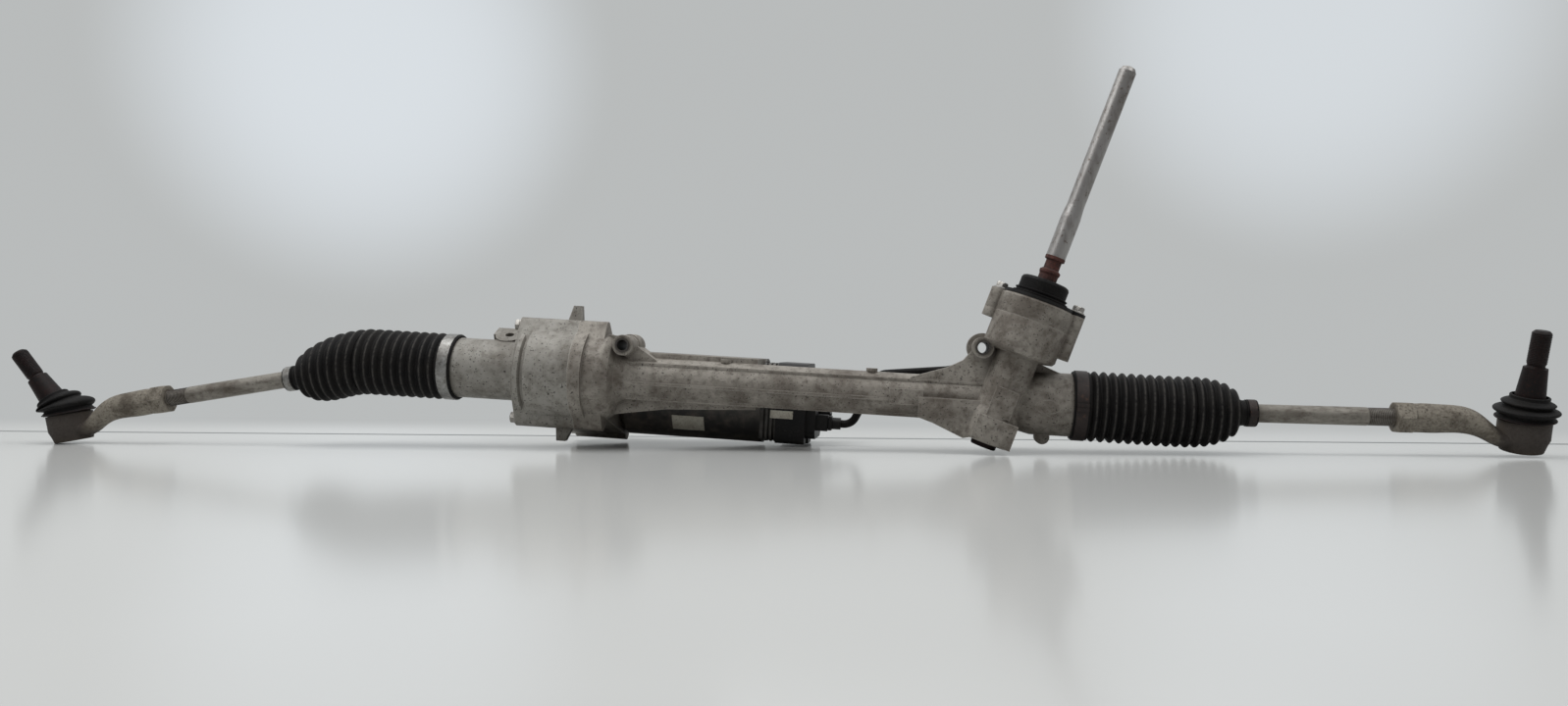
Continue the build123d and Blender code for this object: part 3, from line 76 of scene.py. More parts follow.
Settings = Mapping[str, Any]
Inputs = Mapping[int | str, Any]

RESTING_TILT = 3.35
RESTING_PLACE = (27.5, -40.0, 62.8)
INNER_BALL_X = 378.0
SEAT_END_X = 318.0
SEAT_R = 30.0
ROD_R = 8.6
ARM_L = 98.0
ARM_DROP = 9.0
NUT_L = 16.0
END_TOP = 15.0
TAPER_END = 59.0
STUD_THREAD_R = 8.0
STUD_TIP = 93.0
PINION_X = 234.5
PINION_Y = -17.888
PINION_LEAN = 17.5
MOTOR_Y = 78.0
MOTOR_Z = -17.5
MOTOR_R = 43.6
COVER_FACE_X = -236.0
BELT_LOBE_X = -203.0
DRUM_R = 46.0
LOBE_R = 47.0
EAR_X = 37.0
HEAD_TOP = 100.0
MERGE_REACH = 2e-6
FLAT_ANGLE = 1.0
EDGE_ANGLE = 28.0
GEAR = Matrix.Translation(Vector(RESTING_PLACE) * MM) @ Matrix.Rotation(radians(RESTING_TILT), 4, "Y")
PINION_AXIS = GEAR @ Matrix.Translation((PINION_X * MM, PINION_Y * MM, 0)) @ Matrix.Rotation(
    radians(PINION_LEAN), 4, "Y")


# ---------------------------------------------------------------- nodes
class Value:
    """A node socket that takes part in Python arithmetic."""

    def __init__(self, graph: "Graph", socket: bpy.types.NodeSocket) -> None:
        """Wraps an output socket of a graph."""
        self.graph = graph
        self.socket = socket

    def _math(self, operation: str, *operands: Any) -> "Value":
        """Adds a Math node.

        Args:
            operation: The Math node's operation.
            operands: Its inputs, in order.

        Returns:
            The node's result.
        """
        inputs = dict(enumerate(operands))
        return self.graph.value("ShaderNodeMath", {"operation": operation}, inputs)

    def __add__(self, other: Any) -> "Value":
        """Sum."""
        return self._math("ADD", self, other)

    def __radd__(self, other: Any) -> "Value":
        """Reflected sum."""
        return self._math("ADD", other, self)

    def __sub__(self, other: Any) -> "Value":
        """Difference."""
        return self._math("SUBTRACT", self, other)

    def __rsub__(self, other: Any) -> "Value":
        """Reflected difference."""
        return self._math("SUBTRACT", other, self)

    def __mul__(self, other: Any) -> "Value":
        """Product."""
        return self._math("MULTIPLY", self, other)

    def __rmul__(self, other: Any) -> "Value":
        """Reflected product."""
        return self._math("MULTIPLY", other, self)

    def __truediv__(self, other: Any) -> "Value":
        """Quotient."""
        return self._math("DIVIDE", self, other)

    def __pow__(self, other: Any) -> "Value":
        """Power."""
        return self._math("POWER", self, other)

    def call(self, operation: str, *others: Any) -> "Value":
        """Applies a named Math operation to this value.

        Args:
            operation: The Math node's operation, such as SINE.
            others: Its further inputs.

        Returns:
            The node's result.
        """
        return self._math(operation, self, *others)

    def ramp(self, low: float, high: float) -> "Value":
        """A smooth step from 0 at low to 1 at high."""
        return self.graph.value("ShaderNodeMapRange", {"interpolation_type": "SMOOTHSTEP"},
                                {"Value": self, "From Min": low, "From Max": high})


class Graph:
    """A node tree being built, for a material or for geometry."""

    def __init__(self, tree: bpy.types.NodeTree) -> None:
        """Starts from an existing tree."""
        self.tree = tree

    def node(self, kind: str, settings: Settings | None = None, inputs: Inputs | None = None) -> bpy.types.Node:
        """Adds a node.

        Args:
            kind: The node's type.
            settings: Attributes that are set first; "stops" fills a colour ramp.
            inputs: Values or links of its sockets, by name or number.

        Returns:
            The node.
        """
        node = self.tree.nodes.new(kind)
        for name, setting in (settings or {}).items():
            if name == "stops":
                elements = node.color_ramp.elements
                for position, colour in setting[1:-1]:
                    elements.new(position).color = (*colour, 1)
                elements[0].position, elements[0].color = setting[0][0], (*setting[0][1], 1)
                elements[-1].position, elements[-1].color = setting[-1][0], (*setting[-1][1], 1)
            else:
                setattr(node, name, setting)
        for key, given in (inputs or {}).items():
            if isinstance(given, Value):
                self.tree.links.new(given.socket, node.inputs[key])
            else:
                node.inputs[key].default_value = given
        return node

    def value(self, kind: str, settings: Settings | None = None, inputs: Inputs | None = None,
              output: int | str = 0) -> Value:
        """Adds a node and wraps one of its outputs.

        Args:
            kind: The node's type.
            settings: As for node().
            inputs: As for node().
            output: The output's name or number.

        Returns:
            The wrapped output.
        """
        return Value(self, self.node(kind, settings, inputs).outputs[output])

    def mix(self, share: Value, first: Value | Colour, second: Value | Colour) -> Value:
        """Mixes two colours by a share from 0 to 1."""
        sides = [side if isinstance(side, Value) else (*side, 1) for side in (first, second)]
        return self.value("ShaderNodeMix", {"data_type": "RGBA"}, {0: share, 6: sides[0], 7: sides[1]}, 2)

    def noise(self, where: Value, scale: float, detail: float = 4.0, roughness: float = 0.55) -> Value:
        """Fractal noise at a scale in turns per metre."""
        return self.value("ShaderNodeTexNoise", inputs={
            "Vector": where, "Scale": scale, "Detail": detail, "Roughness": roughness})


def blank_material(name: str) -> tuple[bpy.types.Material, Graph]:
    """A new material and its empty node tree.

    Args:
        name: The material's name.

    Returns:
        The material and its tree.
    """
    made = bpy.data.materials.new(name)
    made.use_nodes = True
    made.node_tree.nodes.clear()
    return made, Graph(made.node_tree)


# ---------------------------------------------------------------- finishes
PATCH_STEP = (0.42, 0.66)
MOTTLE_STEP = (0.42, 0.78)
SPECK_STEP = (0.61, 0.70)
EDGE_STEP = (0.01, 0.14)
CREST_STEP = (0.88, 0.99)
CREVICE_SHADE_STEP = (0.2, 0.9)
EDGE_ROUND = 0.0016
CREVICE_SHADE_REACH = 0.012
MOTTLE_FINER = 9
# Strength of the lightened edges and crests: part wear and dust, part painted highlight.
WEAR_AND_HIGHLIGHT = 0.8


@dataclass(frozen=True)
class Finish:
    """A surface: base colour, what has got onto it, painted highlights and painted shade, and how it scatters
    light.
    """

    name: str
    slot: str
    base: Colour
    # Dirt colour, also laid in crevices as painted shade.
    grime_and_shade: Colour
    speck: Colour
    metallic: float = 0.0
    roughness: float = 0.5
    roughness_spread: float = 0.15
    patch_scale: float = 22.0
    patch_amount: float = 0.5
    speck_scale: float = 420.0
    speck_amount: float = 0.4
    grain_scale: float = 1400.0
    grain_height: float = 0.00012
    stretch: tuple[float, float, float] = (1.0, 1.0, 1.0)
    # Lighter edge colour: part wear, part painted highlight.
    worn_and_highlit: Colour | None = None
    # Share of painted shade laid in crevices through ambient occlusion.
    crevice_shade: float = 0.8
    specular: float = 0.5
    # Lighter fold-crest colour: part dust, part painted highlight.
    crest: Colour | None = None
    stain: Colour | None = None
    stain_at: Colour = (0.0, 0.0, 0.0)
    stain_reach: float = 0.036

    def material(self) -> bpy.types.Material:
        """The finish's material, built on first use.

        Returns:
            The material.
        """
        found = bpy.data.materials.get(self.name)
        if found:
            return found
        made, graph = blank_material(self.name)
        self.paint(graph)
        return made

    def paint(self, graph: Graph) -> None:
        """Lays dirt, wear, painted highlights and painted shade over the base colour and sets how the surface
        scatters light.

        Args:
            graph: The material's empty tree.
        """
        coordinates = graph.value("ShaderNodeTexCoord", output="Object")
        where = graph.value("ShaderNodeVectorMath", {"operation": "MULTIPLY"}, {0: coordinates, 1: self.stretch})
        patches = graph.noise(where, self.patch_scale, 8.0, 0.66)
        mottle = graph.noise(where, self.patch_scale * MOTTLE_FINER, 5.0, 0.6)
        specks = graph.noise(coordinates, self.speck_scale, 2.0, 0.5)
        colour = graph.mix(patches.ramp(*PATCH_STEP) * self.patch_amount, self.base, self.grime_and_shade)
        colour = graph.mix(mottle.ramp(*MOTTLE_STEP) * self.patch_amount, colour, self.grime_and_shade)
        colour = graph.mix(specks.ramp(*SPECK_STEP) * self.speck_amount, colour, self.speck)
        colour = self.rubbed_and_highlit(graph, mottle, colour)
        colour = self.stained_and_shaded(graph, coordinates, patches, colour)
        grain = graph.noise(coordinates, self.grain_scale, 3.0, 0.6) + mottle * 0.8
        rough = patches * self.roughness_spread + mottle * self.roughness_spread + (
            self.roughness - self.roughness_spread)
        bump = graph.value("ShaderNodeBump", inputs={"Strength": 0.6, "Distance": self.grain_height,
                                                     "Height": grain})
        shader = graph.value("ShaderNodeBsdfPrincipled", inputs={
            "Base Color": colour, "Metallic": self.metallic, "Roughness": rough, "Normal": bump,
            "Specular IOR Level": self.specular})
        graph.node("ShaderNodeOutputMaterial", inputs={"Surface": shader})

    def rubbed_and_highlit(self, graph: Graph, mottle: Value, colour: Value) -> Value:
        """Lays wear and painted highlights on edges, and dust and painted highlights on fold crests.

        Args:
            graph: The material's tree.
            mottle: The fine noise that breaks the wear and highlights up.
            colour: The colour so far.

        Returns:
            The colour with its wear and painted highlights.
        """
        if self.worn_and_highlit:
            # Edges lightened through the bevel mask: part wear, part painted highlight.
            rounded = graph.value("ShaderNodeBevel", {"samples": 4}, {"Radius": EDGE_ROUND})
            flat = graph.value("ShaderNodeNewGeometry", output="Normal")
            agree = graph.value("ShaderNodeVectorMath", {"operation": "DOT_PRODUCT"}, {0: rounded, 1: flat},
                                "Value")
            colour = graph.mix((1 - agree).ramp(*EDGE_STEP) * mottle.ramp(0.35, 0.6) * WEAR_AND_HIGHLIGHT, colour, self.worn_and_highlit)
        # Fold crests lightened: part dust, part painted highlight.
        if self.crest:
            ridge = graph.value("ShaderNodeAttribute", {"attribute_name": "crest"}, output="Fac")
            colour = graph.mix(ridge.ramp(*CREST_STEP) * mottle.ramp(0.3, 0.6) * WEAR_AND_HIGHLIGHT, colour, self.crest)
        return colour

    def stained_and_shaded(self, graph: Graph, coordinates: Value, patches: Value, colour: Value) -> Value:
        """Lays the local stain and the painted shade of the crevices.

        Args:
            graph: The material's tree.
            coordinates: The place on the piece.
            patches: The coarse noise that breaks up the stain's rim.
            colour: The colour so far.

        Returns:
            The colour with its stain and painted shade.
        """
        if self.stain:
            away = graph.value("ShaderNodeVectorMath", {"operation": "DISTANCE"},
                               {0: coordinates, 1: self.stain_at}, "Value") + (patches - 0.5) * 0.02
            inside = 1 - away.ramp(self.stain_reach * 0.72, self.stain_reach)
            colour = graph.mix(inside * 0.92, colour, self.stain)
        # Crevices darkened through ambient occlusion: painted shade.
        if self.crevice_shade:
            opened = graph.value("ShaderNodeAmbientOcclusion", {"samples": 6}, {"Distance": CREVICE_SHADE_REACH}, "AO")
            colour = graph.mix((1 - opened.ramp(*CREVICE_SHADE_STEP)) * self.crevice_shade, colour, self.grime_and_shade)
        return colour


# The worn colours are lighter edges, part wear and part painted highlight; the grime colours also give the crevices
# their painted shade.
CAST = Finish("housing_casting", "cast_aluminium", (0.274, 0.254, 0.222), (0.080, 0.064, 0.050),
              (0.022, 0.018, 0.015), metallic=0.3, roughness=0.62, patch_scale=15, patch_amount=0.82,
              speck_scale=560, speck_amount=0.85, grain_height=0.0005, worn_and_highlit=(0.40, 0.375, 0.335))
COVER_CAST = Finish("cover_casting", "cast_aluminium", (0.278, 0.268, 0.242), (0.094, 0.079, 0.062),
                    (0.028, 0.024, 0.020), metallic=0.3, roughness=0.6, patch_scale=14, patch_amount=0.66,
                    speck_scale=480, speck_amount=0.9, grain_height=0.0005, worn_and_highlit=(0.44, 0.42, 0.385))
FORGED = Finish("grey_forging", "forged_steel", (0.238, 0.215, 0.176), (0.070, 0.055, 0.040),
                (0.032, 0.024, 0.018), metallic=0.3, roughness=0.7, patch_scale=42, patch_amount=0.85,
                speck_scale=420, speck_amount=0.7, grain_scale=700, grain_height=0.0009, worn_and_highlit=(0.36, 0.33, 0.285))
ROD = Finish("tie_rod_steel", "forged_steel", (0.235, 0.220, 0.192), (0.072, 0.058, 0.044), (0.038, 0.028, 0.022),
             metallic=0.4, roughness=0.55, patch_scale=30, patch_amount=0.85, stretch=(0.45, 1, 1))
SHAFT = Finish("shaft_steel", "bright_steel", (0.34, 0.33, 0.32), (0.115, 0.098, 0.085), (0.085, 0.050, 0.036),
               metallic=0.7, roughness=0.4, patch_scale=24, patch_amount=0.6, stretch=(1, 1, 0.3),
               speck_scale=260, speck_amount=0.6, crevice_shade=0.0)
BRIGHT = Finish("machined_steel", "bright_steel", (0.40, 0.39, 0.37), (0.15, 0.13, 0.105), (0.09, 0.065, 0.05),
                metallic=0.8, roughness=0.38, patch_amount=0.6, crevice_shade=0.5)
BAND = Finish("steel_band", "bright_steel", (0.30, 0.30, 0.29), (0.075, 0.066, 0.056), (0.05, 0.04, 0.032),
              metallic=0.75, roughness=0.42, patch_scale=40, patch_amount=0.75, crevice_shade=0.3)
SLEEVE = Finish("mount_sleeve", "bright_steel", (0.060, 0.054, 0.048), (0.030, 0.024, 0.020), (0.10, 0.06, 0.045),
                metallic=0.4, roughness=0.6, patch_amount=0.6)
RUST = Finish("rusty_neck", "rusty_steel", (0.080, 0.021, 0.014), (0.022, 0.009, 0.007), (0.15, 0.048, 0.025),
              metallic=0.1, roughness=0.75, patch_scale=90, patch_amount=0.85, speck_amount=0.6,
              grain_height=0.0006)
DARK = Finish("blackened_steel", "dark_steel", (0.0065, 0.0050, 0.0050), (0.018, 0.0070, 0.0058),
              (0.040, 0.017, 0.012), metallic=0.2, roughness=0.55, patch_scale=50, patch_amount=0.6,
              speck_amount=0.35, specular=0.2)
RUSTY_BAND = Finish("rusty_band", "dark_steel", (0.024, 0.015, 0.013), (0.013, 0.010, 0.009), (0.10, 0.050, 0.030),
                    metallic=0.3, roughness=0.6, patch_scale=70, patch_amount=0.6, speck_scale=300)
# Its crest colour lightens the fold crests: part dust, part painted highlight.
RUBBER = Finish("bellows_rubber", "rubber", (0.0070, 0.0068, 0.0070), (0.017, 0.0155, 0.014),
                (0.034, 0.031, 0.028), roughness=0.6, roughness_spread=0.2, specular=0.10, patch_scale=34,
                patch_amount=0.5, speck_scale=700, speck_amount=0.35, grain_height=0.00009,
                crest=(0.055, 0.051, 0.047), crevice_shade=0.0)
PLASTIC = Finish("moulded_plastic", "black_plastic", (0.0080, 0.0080, 0.0085), (0.018, 0.0165, 0.015),
                 (0.045, 0.041, 0.037), roughness=0.45, patch_amount=0.45, speck_amount=0.3, specular=0.2,
                 grain_height=0.00006, crevice_shade=0.0)
PAINT = Finish("motor_paint", "black_paint", (0.026, 0.025, 0.0245), (0.110, 0.094, 0.078), (0.10, 0.085, 0.07),
               metallic=0.15, roughness=0.5, patch_scale=9, patch_amount=0.95, speck_amount=0.35,
               grain_height=0.00008)
SINK = Finish("heat_sink_metal", "machined_aluminium", (0.10, 0.096, 0.088), (0.035, 0.030, 0.026),
              (0.03, 0.025, 0.02), metallic=0.4, roughness=0.6, patch_amount=0.7)
BRONZE = Finish("sintered_bronze", "bronze", (0.42, 0.29, 0.15), (0.16, 0.11, 0.07), (0.08, 0.06, 0.04),
                metallic=0.85, roughness=0.45)
COPPER = Finish("enamelled_copper", "copper_winding", (0.52, 0.24, 0.12), (0.25, 0.11, 0.06), (0.12, 0.06, 0.04),
                metallic=0.85, roughness=0.35)
PAPER = Finish("blank_label", "black_plastic", (0.56, 0.54, 0.46), (0.26, 0.22, 0.17), (0.10, 0.08, 0.06),
               roughness=0.55, patch_scale=60, patch_amount=0.5, speck_amount=0.5, crevice_shade=0.0)


# ---------------------------------------------------------------- objects
def stand(name: str, data: bpy.types.ID) -> bpy.types.Object:
    """A new object in the scene that carries the data.

    Args:
        name: The object's name.
        data: Its mesh, light or camera.

    Returns:
        The object.
    """
    made = bpy.data.objects.new(name, data)
    bpy.context.scene.collection.objects.link(made)
    return made


def applied(carrier: bpy.types.Object) -> bpy.types.Mesh:
    """The plain mesh that an object's modifiers make; the object is removed.

    Args:
        carrier: The object, used up here.

    Returns:
        The mesh.
    """
    made = bpy.data.meshes.new_from_object(carrier.evaluated_get(bpy.context.evaluated_depsgraph_get()))
    carrier.modifiers.clear()
    bpy.data.objects.remove(carrier)
    return made


# ---------------------------------------------------------------- geometry nodes
class GeometryTree(Graph):
    """A Geometry Nodes tree with named size inputs."""

    def __init__(self, name: str) -> None:
        """Starts an empty tree with a geometry output and a finish input.

        Args:
            name: The tree's name.
        """
        super().__init__(bpy.data.node_groups.new(name, "GeometryNodeTree"))
        self.tree.interface.new_socket("Geometry", in_out="OUTPUT", socket_type="NodeSocketGeometry")
        self.entry = self.tree.nodes.new("NodeGroupInput")
        self.sockets: dict[str, str] = {}
        self.finish = self.take("Finish", "NodeSocketMaterial")

    def take(self, name: str, kind: str = "NodeSocketFloat") -> Value:
        """Adds a named input.

        Args:
            name: What the input sets.
            kind: The socket's type.

        Returns:
            The input's value inside the tree.
        """
        socket = self.tree.interface.new_socket(name, in_out="INPUT", socket_type=kind)
        self.sockets[name] = socket.identifier
        return Value(self, self.entry.outputs[name])

    def give(self, geometry: Value) -> None:
        """Ends the tree: makes instances real and sets the finish.

        Args:
            geometry: What the tree has made.
        """
        real = self.value("GeometryNodeRealizeInstances", inputs={"Geometry": geometry})
        dressed = self.value("GeometryNodeSetMaterial", inputs={"Geometry": real, "Material": self.finish})
        self.node("NodeGroupOutput", inputs={"Geometry": dressed})

    def mesh(self, finish: Finish, sizes: Mapping[str, Any]) -> bpy.types.Mesh:
        """Runs the tree once.

        Args:
            finish: The material to set.
            sizes: A value for each named input.

        Returns:
            The plain mesh that it makes.
        """
        carrier = stand("carrier", bpy.data.meshes.new("carrier"))
        modifier = carrier.modifiers.new("tree", "NODES")
        modifier.node_group = self.tree
        for name, size in {"Finish": finish.material(), **sizes}.items():
            modifier[self.sockets[name]] = size
        return applied(carrier)

    def wall(self, rows: Value | int, columns: int) -> tuple[Value, Value, Value]:
        """Adds a grid to be rolled up.

        Args:
            rows: Points along the length.
            columns: Points round.

        Returns:
            The grid, the share of the length at a point, and its angle.
        """
        grid = self.value("GeometryNodeMeshGrid", inputs={"Size X": 1.0, "Size Y": 1.0, "Vertices X": rows,
                                                          "Vertices Y": columns})
        place = self.node("GeometryNodeInputPosition").outputs[0]
        apart = self.node("ShaderNodeSeparateXYZ", inputs={0: Value(self, place)})
        along = Value(self, apart.outputs[0]) + 0.5
        angle = (Value(self, apart.outputs[1]) + 0.5) * (2 * pi)
        return grid, along, angle

    def rolled(self, grid: Value, x: Value, y: Value, z: Value) -> Value:
        """Moves the grid's points and welds its seam.

        Args:
            grid: The grid from wall().
            x: Where each point goes along X.
            y: Along Y.
            z: Along Z.

        Returns:
            The closed, smooth skin.
        """
        place = self.value("ShaderNodeCombineXYZ", inputs={0: x, 1: y, 2: z})
        moved = self.value("GeometryNodeSetPosition", inputs={"Geometry": grid, "Position": place})
        welded = self.value("GeometryNodeMergeByDistance", inputs={"Geometry": moved, "Distance": 1e-6})
        return self.value("GeometryNodeSetShadeSmooth", inputs={"Geometry": welded})


def fold_tree() -> GeometryTree:
    """Bellows folds along a bent centre line, tapering to the neck.

    Returns:
        The tree.
    """
    tree = GeometryTree("bellows_folds")
    first, last, folds = (tree.take(name) for name in ("First fold", "Last fold", "Folds"))
    start, span, bend_from = tree.take("Seat"), tree.take("Span"), tree.take("Bend from")
    neck_z, slope = tree.take("Neck height"), tree.take("Neck slope")
    radius, depth = tree.take("Crest radius"), tree.take("Fold depth")
    taper_from, neck, least = tree.take("Taper from"), tree.take("Neck radius"), tree.take("Least radius")
    rows = tree.take("Rows", "NodeSocketInt")
    grid, along, angle = tree.wall(rows, 73)
    fold = first + (last - first) * along
    share = fold / folds
    bend = ((share - bend_from) / (1.0 - bend_from)).call("MAXIMUM", 0.0)
    square, cube = bend ** 2.0, bend ** 3.0
    centre = neck_z * (3.0 * square - 2.0 * cube) + slope * (cube - square)
    turn = slope.call("ARCTAN2", span * (1.0 - bend_from)) * (3.0 * square - 2.0 * cube)
    closing = ((fold - taper_from) / (folds - taper_from)).call("MAXIMUM", 0.0).call("MINIMUM", 0.99)
    crest = neck + (radius - neck) * (1.0 - closing ** 2.0) ** 0.5
    root = (crest - depth).call("MAXIMUM", least)
    wave = (0.5 - 0.5 * (fold * (2 * pi)).call("COSINE")) ** 0.7
    reach = root + (crest.call("MAXIMUM", least) - root) * wave
    side, up = reach * angle.call("COSINE"), reach * angle.call("SINE")
    x = start + span * share - up * turn.call("SINE")
    z = centre + up * turn.call("COSINE")
    marked = tree.value("GeometryNodeStoreNamedAttribute", {"data_type": "FLOAT", "domain": "POINT"},
                        {"Geometry": grid, "Name": "crest", "Value": wave})
    tree.give(tree.rolled(marked, x, side, z))
    return tree


def thread_tree() -> GeometryTree:
    """Closed screw thread along X, fading out at both ends.

    Returns:
        The tree.
    """
    tree = GeometryTree("screw_thread")
    crest, depth = tree.take("Crest radius"), tree.take("Depth")
    pitch, length = tree.take("Pitch"), tree.take("Length")
    rows = tree.take("Rows", "NodeSocketInt")
    grid, along, angle = tree.wall(rows, 41)
    travel = along * length
    phase = (travel / pitch - angle / (2 * pi)).call("FRACT")
    ridge = ((1.0 - ((phase - 0.5) * 2.0).call("ABSOLUTE")) * 1.5 - 0.2).call("MAXIMUM", 0.0).call("MINIMUM", 1.0)
    fade = (travel / pitch).call("MINIMUM", 1.0).call("MINIMUM", (length - travel) / pitch)
    inside = travel.call("GREATER_THAN", 1e-7) * travel.call("LESS_THAN", length - 1e-7)
    reach = (crest - depth + depth * ridge * fade) * inside
    tree.give(tree.rolled(grid, travel, reach * angle.call("COSINE"), reach * angle.call("SINE")))
    return tree


def fastener_tree() -> GeometryTree:
    """Sets one bolt head on every point of a mesh, all turned the same way.

    Returns:
        The tree.
    """
    tree = GeometryTree("bolt_heads")
    places = tree.take("Places", "NodeSocketObject")
    head = tree.take("Head", "NodeSocketObject")
    turn = tree.take("Turn", "NodeSocketVector")
    points = tree.value("GeometryNodeObjectInfo", inputs={"Object": places}, output="Geometry")
    shape = tree.value("GeometryNodeObjectInfo", inputs={"Object": head}, output="Geometry")
    rotation = tree.value("FunctionNodeEulerToRotation", inputs={0: turn})
    tree.give(tree.value("GeometryNodeInstanceOnPoints", inputs={
        "Points": points, "Instance": shape, "Rotation": rotation}))
    return tree


# ---------------------------------------------------------------- mesh tools
class Shading(Enum):
    """How a mesh's faces meet in the light."""

    SMOOTH = 180.0
    BY_ANGLE = 32.0


def add(name: str, mesh: bpy.types.Mesh, place: Matrix, finish: Finish,
        body: str | None = None) -> bpy.types.Object:
    """Adds a piece at the origin with its place in its mesh.

    Args:
        name: The piece's name.
        mesh: Its mesh, in its own frame.
        place: Where that frame lies in the gear.
        finish: Its surface.
        body: The body that it rides on, or None to leave it unattached.

    Returns:
        The piece.
    """
    mesh.transform(place)
    mesh.materials.clear()
    mesh.materials.append(finish.material())
    piece = stand(name, mesh)
    if body:
        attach(piece, body)
    LOG.info("%s: %d faces", name, len(mesh.polygons))
    return piece


def solidified(mesh: bpy.types.Mesh, wall: float) -> bpy.types.Mesh:
    """Gives a skin a wall, inwards.

    Args:
        mesh: The open skin.
        wall: The wall's thickness in metres.

    Returns:
        The closed mesh.
    """
    body = bmesh.new()
    body.from_mesh(mesh)
    bmesh.ops.recalc_face_normals(body, faces=body.faces)
    body.to_mesh(mesh)
    body.free()
    carrier = stand("carrier", mesh)
    modifier = carrier.modifiers.new("wall", "SOLIDIFY")
    modifier.thickness = wall
    modifier.offset = -1
    return applied(carrier)


def skinned(body: bmesh.types.BMesh, rings: Sequence[Sequence[bmesh.types.BMVert]], closed: bool) -> None:
    """Joins each ring of points to the next with faces.

    Args:
        body: The mesh being built.
        rings: Rings with the same number of points, or a single point for a pole.
        closed: Whether the last ring joins the first.
    """
    for low, high in zip(rings, [*rings[1:], rings[0]] if closed else rings[1:]):
        for k in range(max(len(low), len(high))):
            corners = [low[k % len(low)], low[(k + 1) % len(low)], high[(k + 1) % len(high)], high[k % len(high)]]
            body.faces.new(list(dict.fromkeys(corners)))


def closed_mesh(body: bmesh.types.BMesh, name: str) -> bpy.types.Mesh:
    """Turns a closed body's faces outwards and makes it a mesh.

    Args:
        body: The body, used up here.
        name: The mesh's name.

    Returns:
        The mesh.
    """
    bmesh.ops.recalc_face_normals(body, faces=body.faces)
    made = bpy.data.meshes.new(name)
    body.to_mesh(made)
    body.free()
    return made


def turned(profile: Sequence[tuple[float, float]], segments: int = 64,
           shading: Shading = Shading.BY_ANGLE) -> bpy.types.Mesh:
    """Turns (x, radius) points round X, in millimetres.

    Args:
        profile: The points, in order; a radius of 0 closes an end, else it is a ring.
        segments: Faces round.
        shading: How its faces meet.

    Returns:
        The mesh, in metres.
    """
    body = bmesh.new()
    rings = []
    for x, radius in profile:
        if radius == 0:
            rings.append([body.verts.new((x * MM, 0, 0))])
            continue
        rings.append([body.verts.new((x * MM, radius * MM * cos(2 * pi * k / segments),
                                      radius * MM * sin(2 * pi * k / segments))) for k in range(segments)])
    skinned(body, rings, closed=profile[0][1] > 0 and profile[-1][1] > 0)
    made = closed_mesh(body, "turned")
    shade(made, shading)
    return made


def shade(mesh: bpy.types.Mesh, shading: Shading) -> None:
    """Smooths a mesh up to the angle that the shading names.

    Args:
        mesh: The mesh.
        shading: How its faces meet.
    """
    mesh.shade_smooth()
    if shading is Shading.BY_ANGLE:
        mesh.set_sharp_from_angle(angle=radians(shading.value))


def softened(node: str, finish: Finish, width: float, body: str) -> bpy.types.Object:
    """Stands a copy of a CAD node with rounded edges in its place.

    Args:
        node: The CAD node.
        finish: Its surface.
        width: The edge's rounding in millimetres.
        body: The body that it rides on.

    Returns:
        The piece.
    """
    copy = bmesh.new()
    copy.from_mesh(bpy.data.objects[node].data)
    bmesh.ops.remove_doubles(copy, verts=copy.verts, dist=MERGE_REACH)
    bmesh.ops.dissolve_limit(copy, angle_limit=radians(FLAT_ANGLE), verts=copy.verts, edges=copy.edges)
    sharp = [edge for edge in copy.edges
             if len(edge.link_faces) == 2 and edge.calc_face_angle(0) > radians(EDGE_ANGLE)]
    bmesh.ops.bevel(copy, geom=sharp, offset=width * MM, segments=2, profile=0.5, affect="EDGES",
                    clamp_overlap=True, offset_type="OFFSET")
    made = bpy.data.meshes.new(node + "_cast")
    copy.to_mesh(made)
    copy.free()
    shade(made, Shading.BY_ANGLE)
    piece = add(node + "_finished", made, Matrix.Identity(4), finish, body)
    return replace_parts(piece, node)


# ---------------------------------------------------------------- sub-assemblies
@dataclass(frozen=True)
class Side:
    """One end of the gear: which way it points and how its loose tie rod lies."""

    name: str
    direction: int
    rod_rise: float
    rod_to_nut: float
    neck_at: float
    end_roll: float
    stud_lean: float

    @property
    def rod_body(self) -> str:
        """The body that the tie rod is."""
        return f"{self.name}_tie_rod"

    @property
    def axial(self) -> Matrix:
        """Inner ball centre, facing outwards along the rack.

        Returns:
            The place in the gear.
        """
        turn = 0.0 if self.direction > 0 else pi
        ball = GEAR @ Matrix.Translation((self.direction * INNER_BALL_X * MM, 0, 0))
        return ball @ Matrix.Rotation(turn, 4, "Z")

    @property
    def rod(self) -> Matrix:
        """Inner ball centre, facing along the tie rod."""
        return self.axial @ Matrix.Rotation(radians(-self.rod_rise), 4, "Y")

    @property
    def end(self) -> Matrix:
        """Outer ball centre, rolled on the rod's axis.

        Returns:
            The place in the gear.
        """
        reach = (self.rod_to_nut + ARM_L + NUT_L) * MM
        return self.rod @ Matrix.Rotation(radians(self.end_roll * self.direction), 4, "X") @ Matrix.Translation(
            (reach, 0, -ARM_DROP * MM))

    def lean(self, share: float) -> Matrix:
        """The outer ball centre, leaning by a share of the stud's lean."""
        return self.end @ Matrix.Rotation(radians(self.stud_lean * share), 4, "Y")


LEFT = Side("left", -1, -12.18, 243.0, 95.0, 4.0, 28.0)
RIGHT = Side("right", 1, 2.0, 216.0, 78.0, 12.0, 3.0)
STAND_UP = Matrix.Rotation(-pi / 2, 4, "Y")


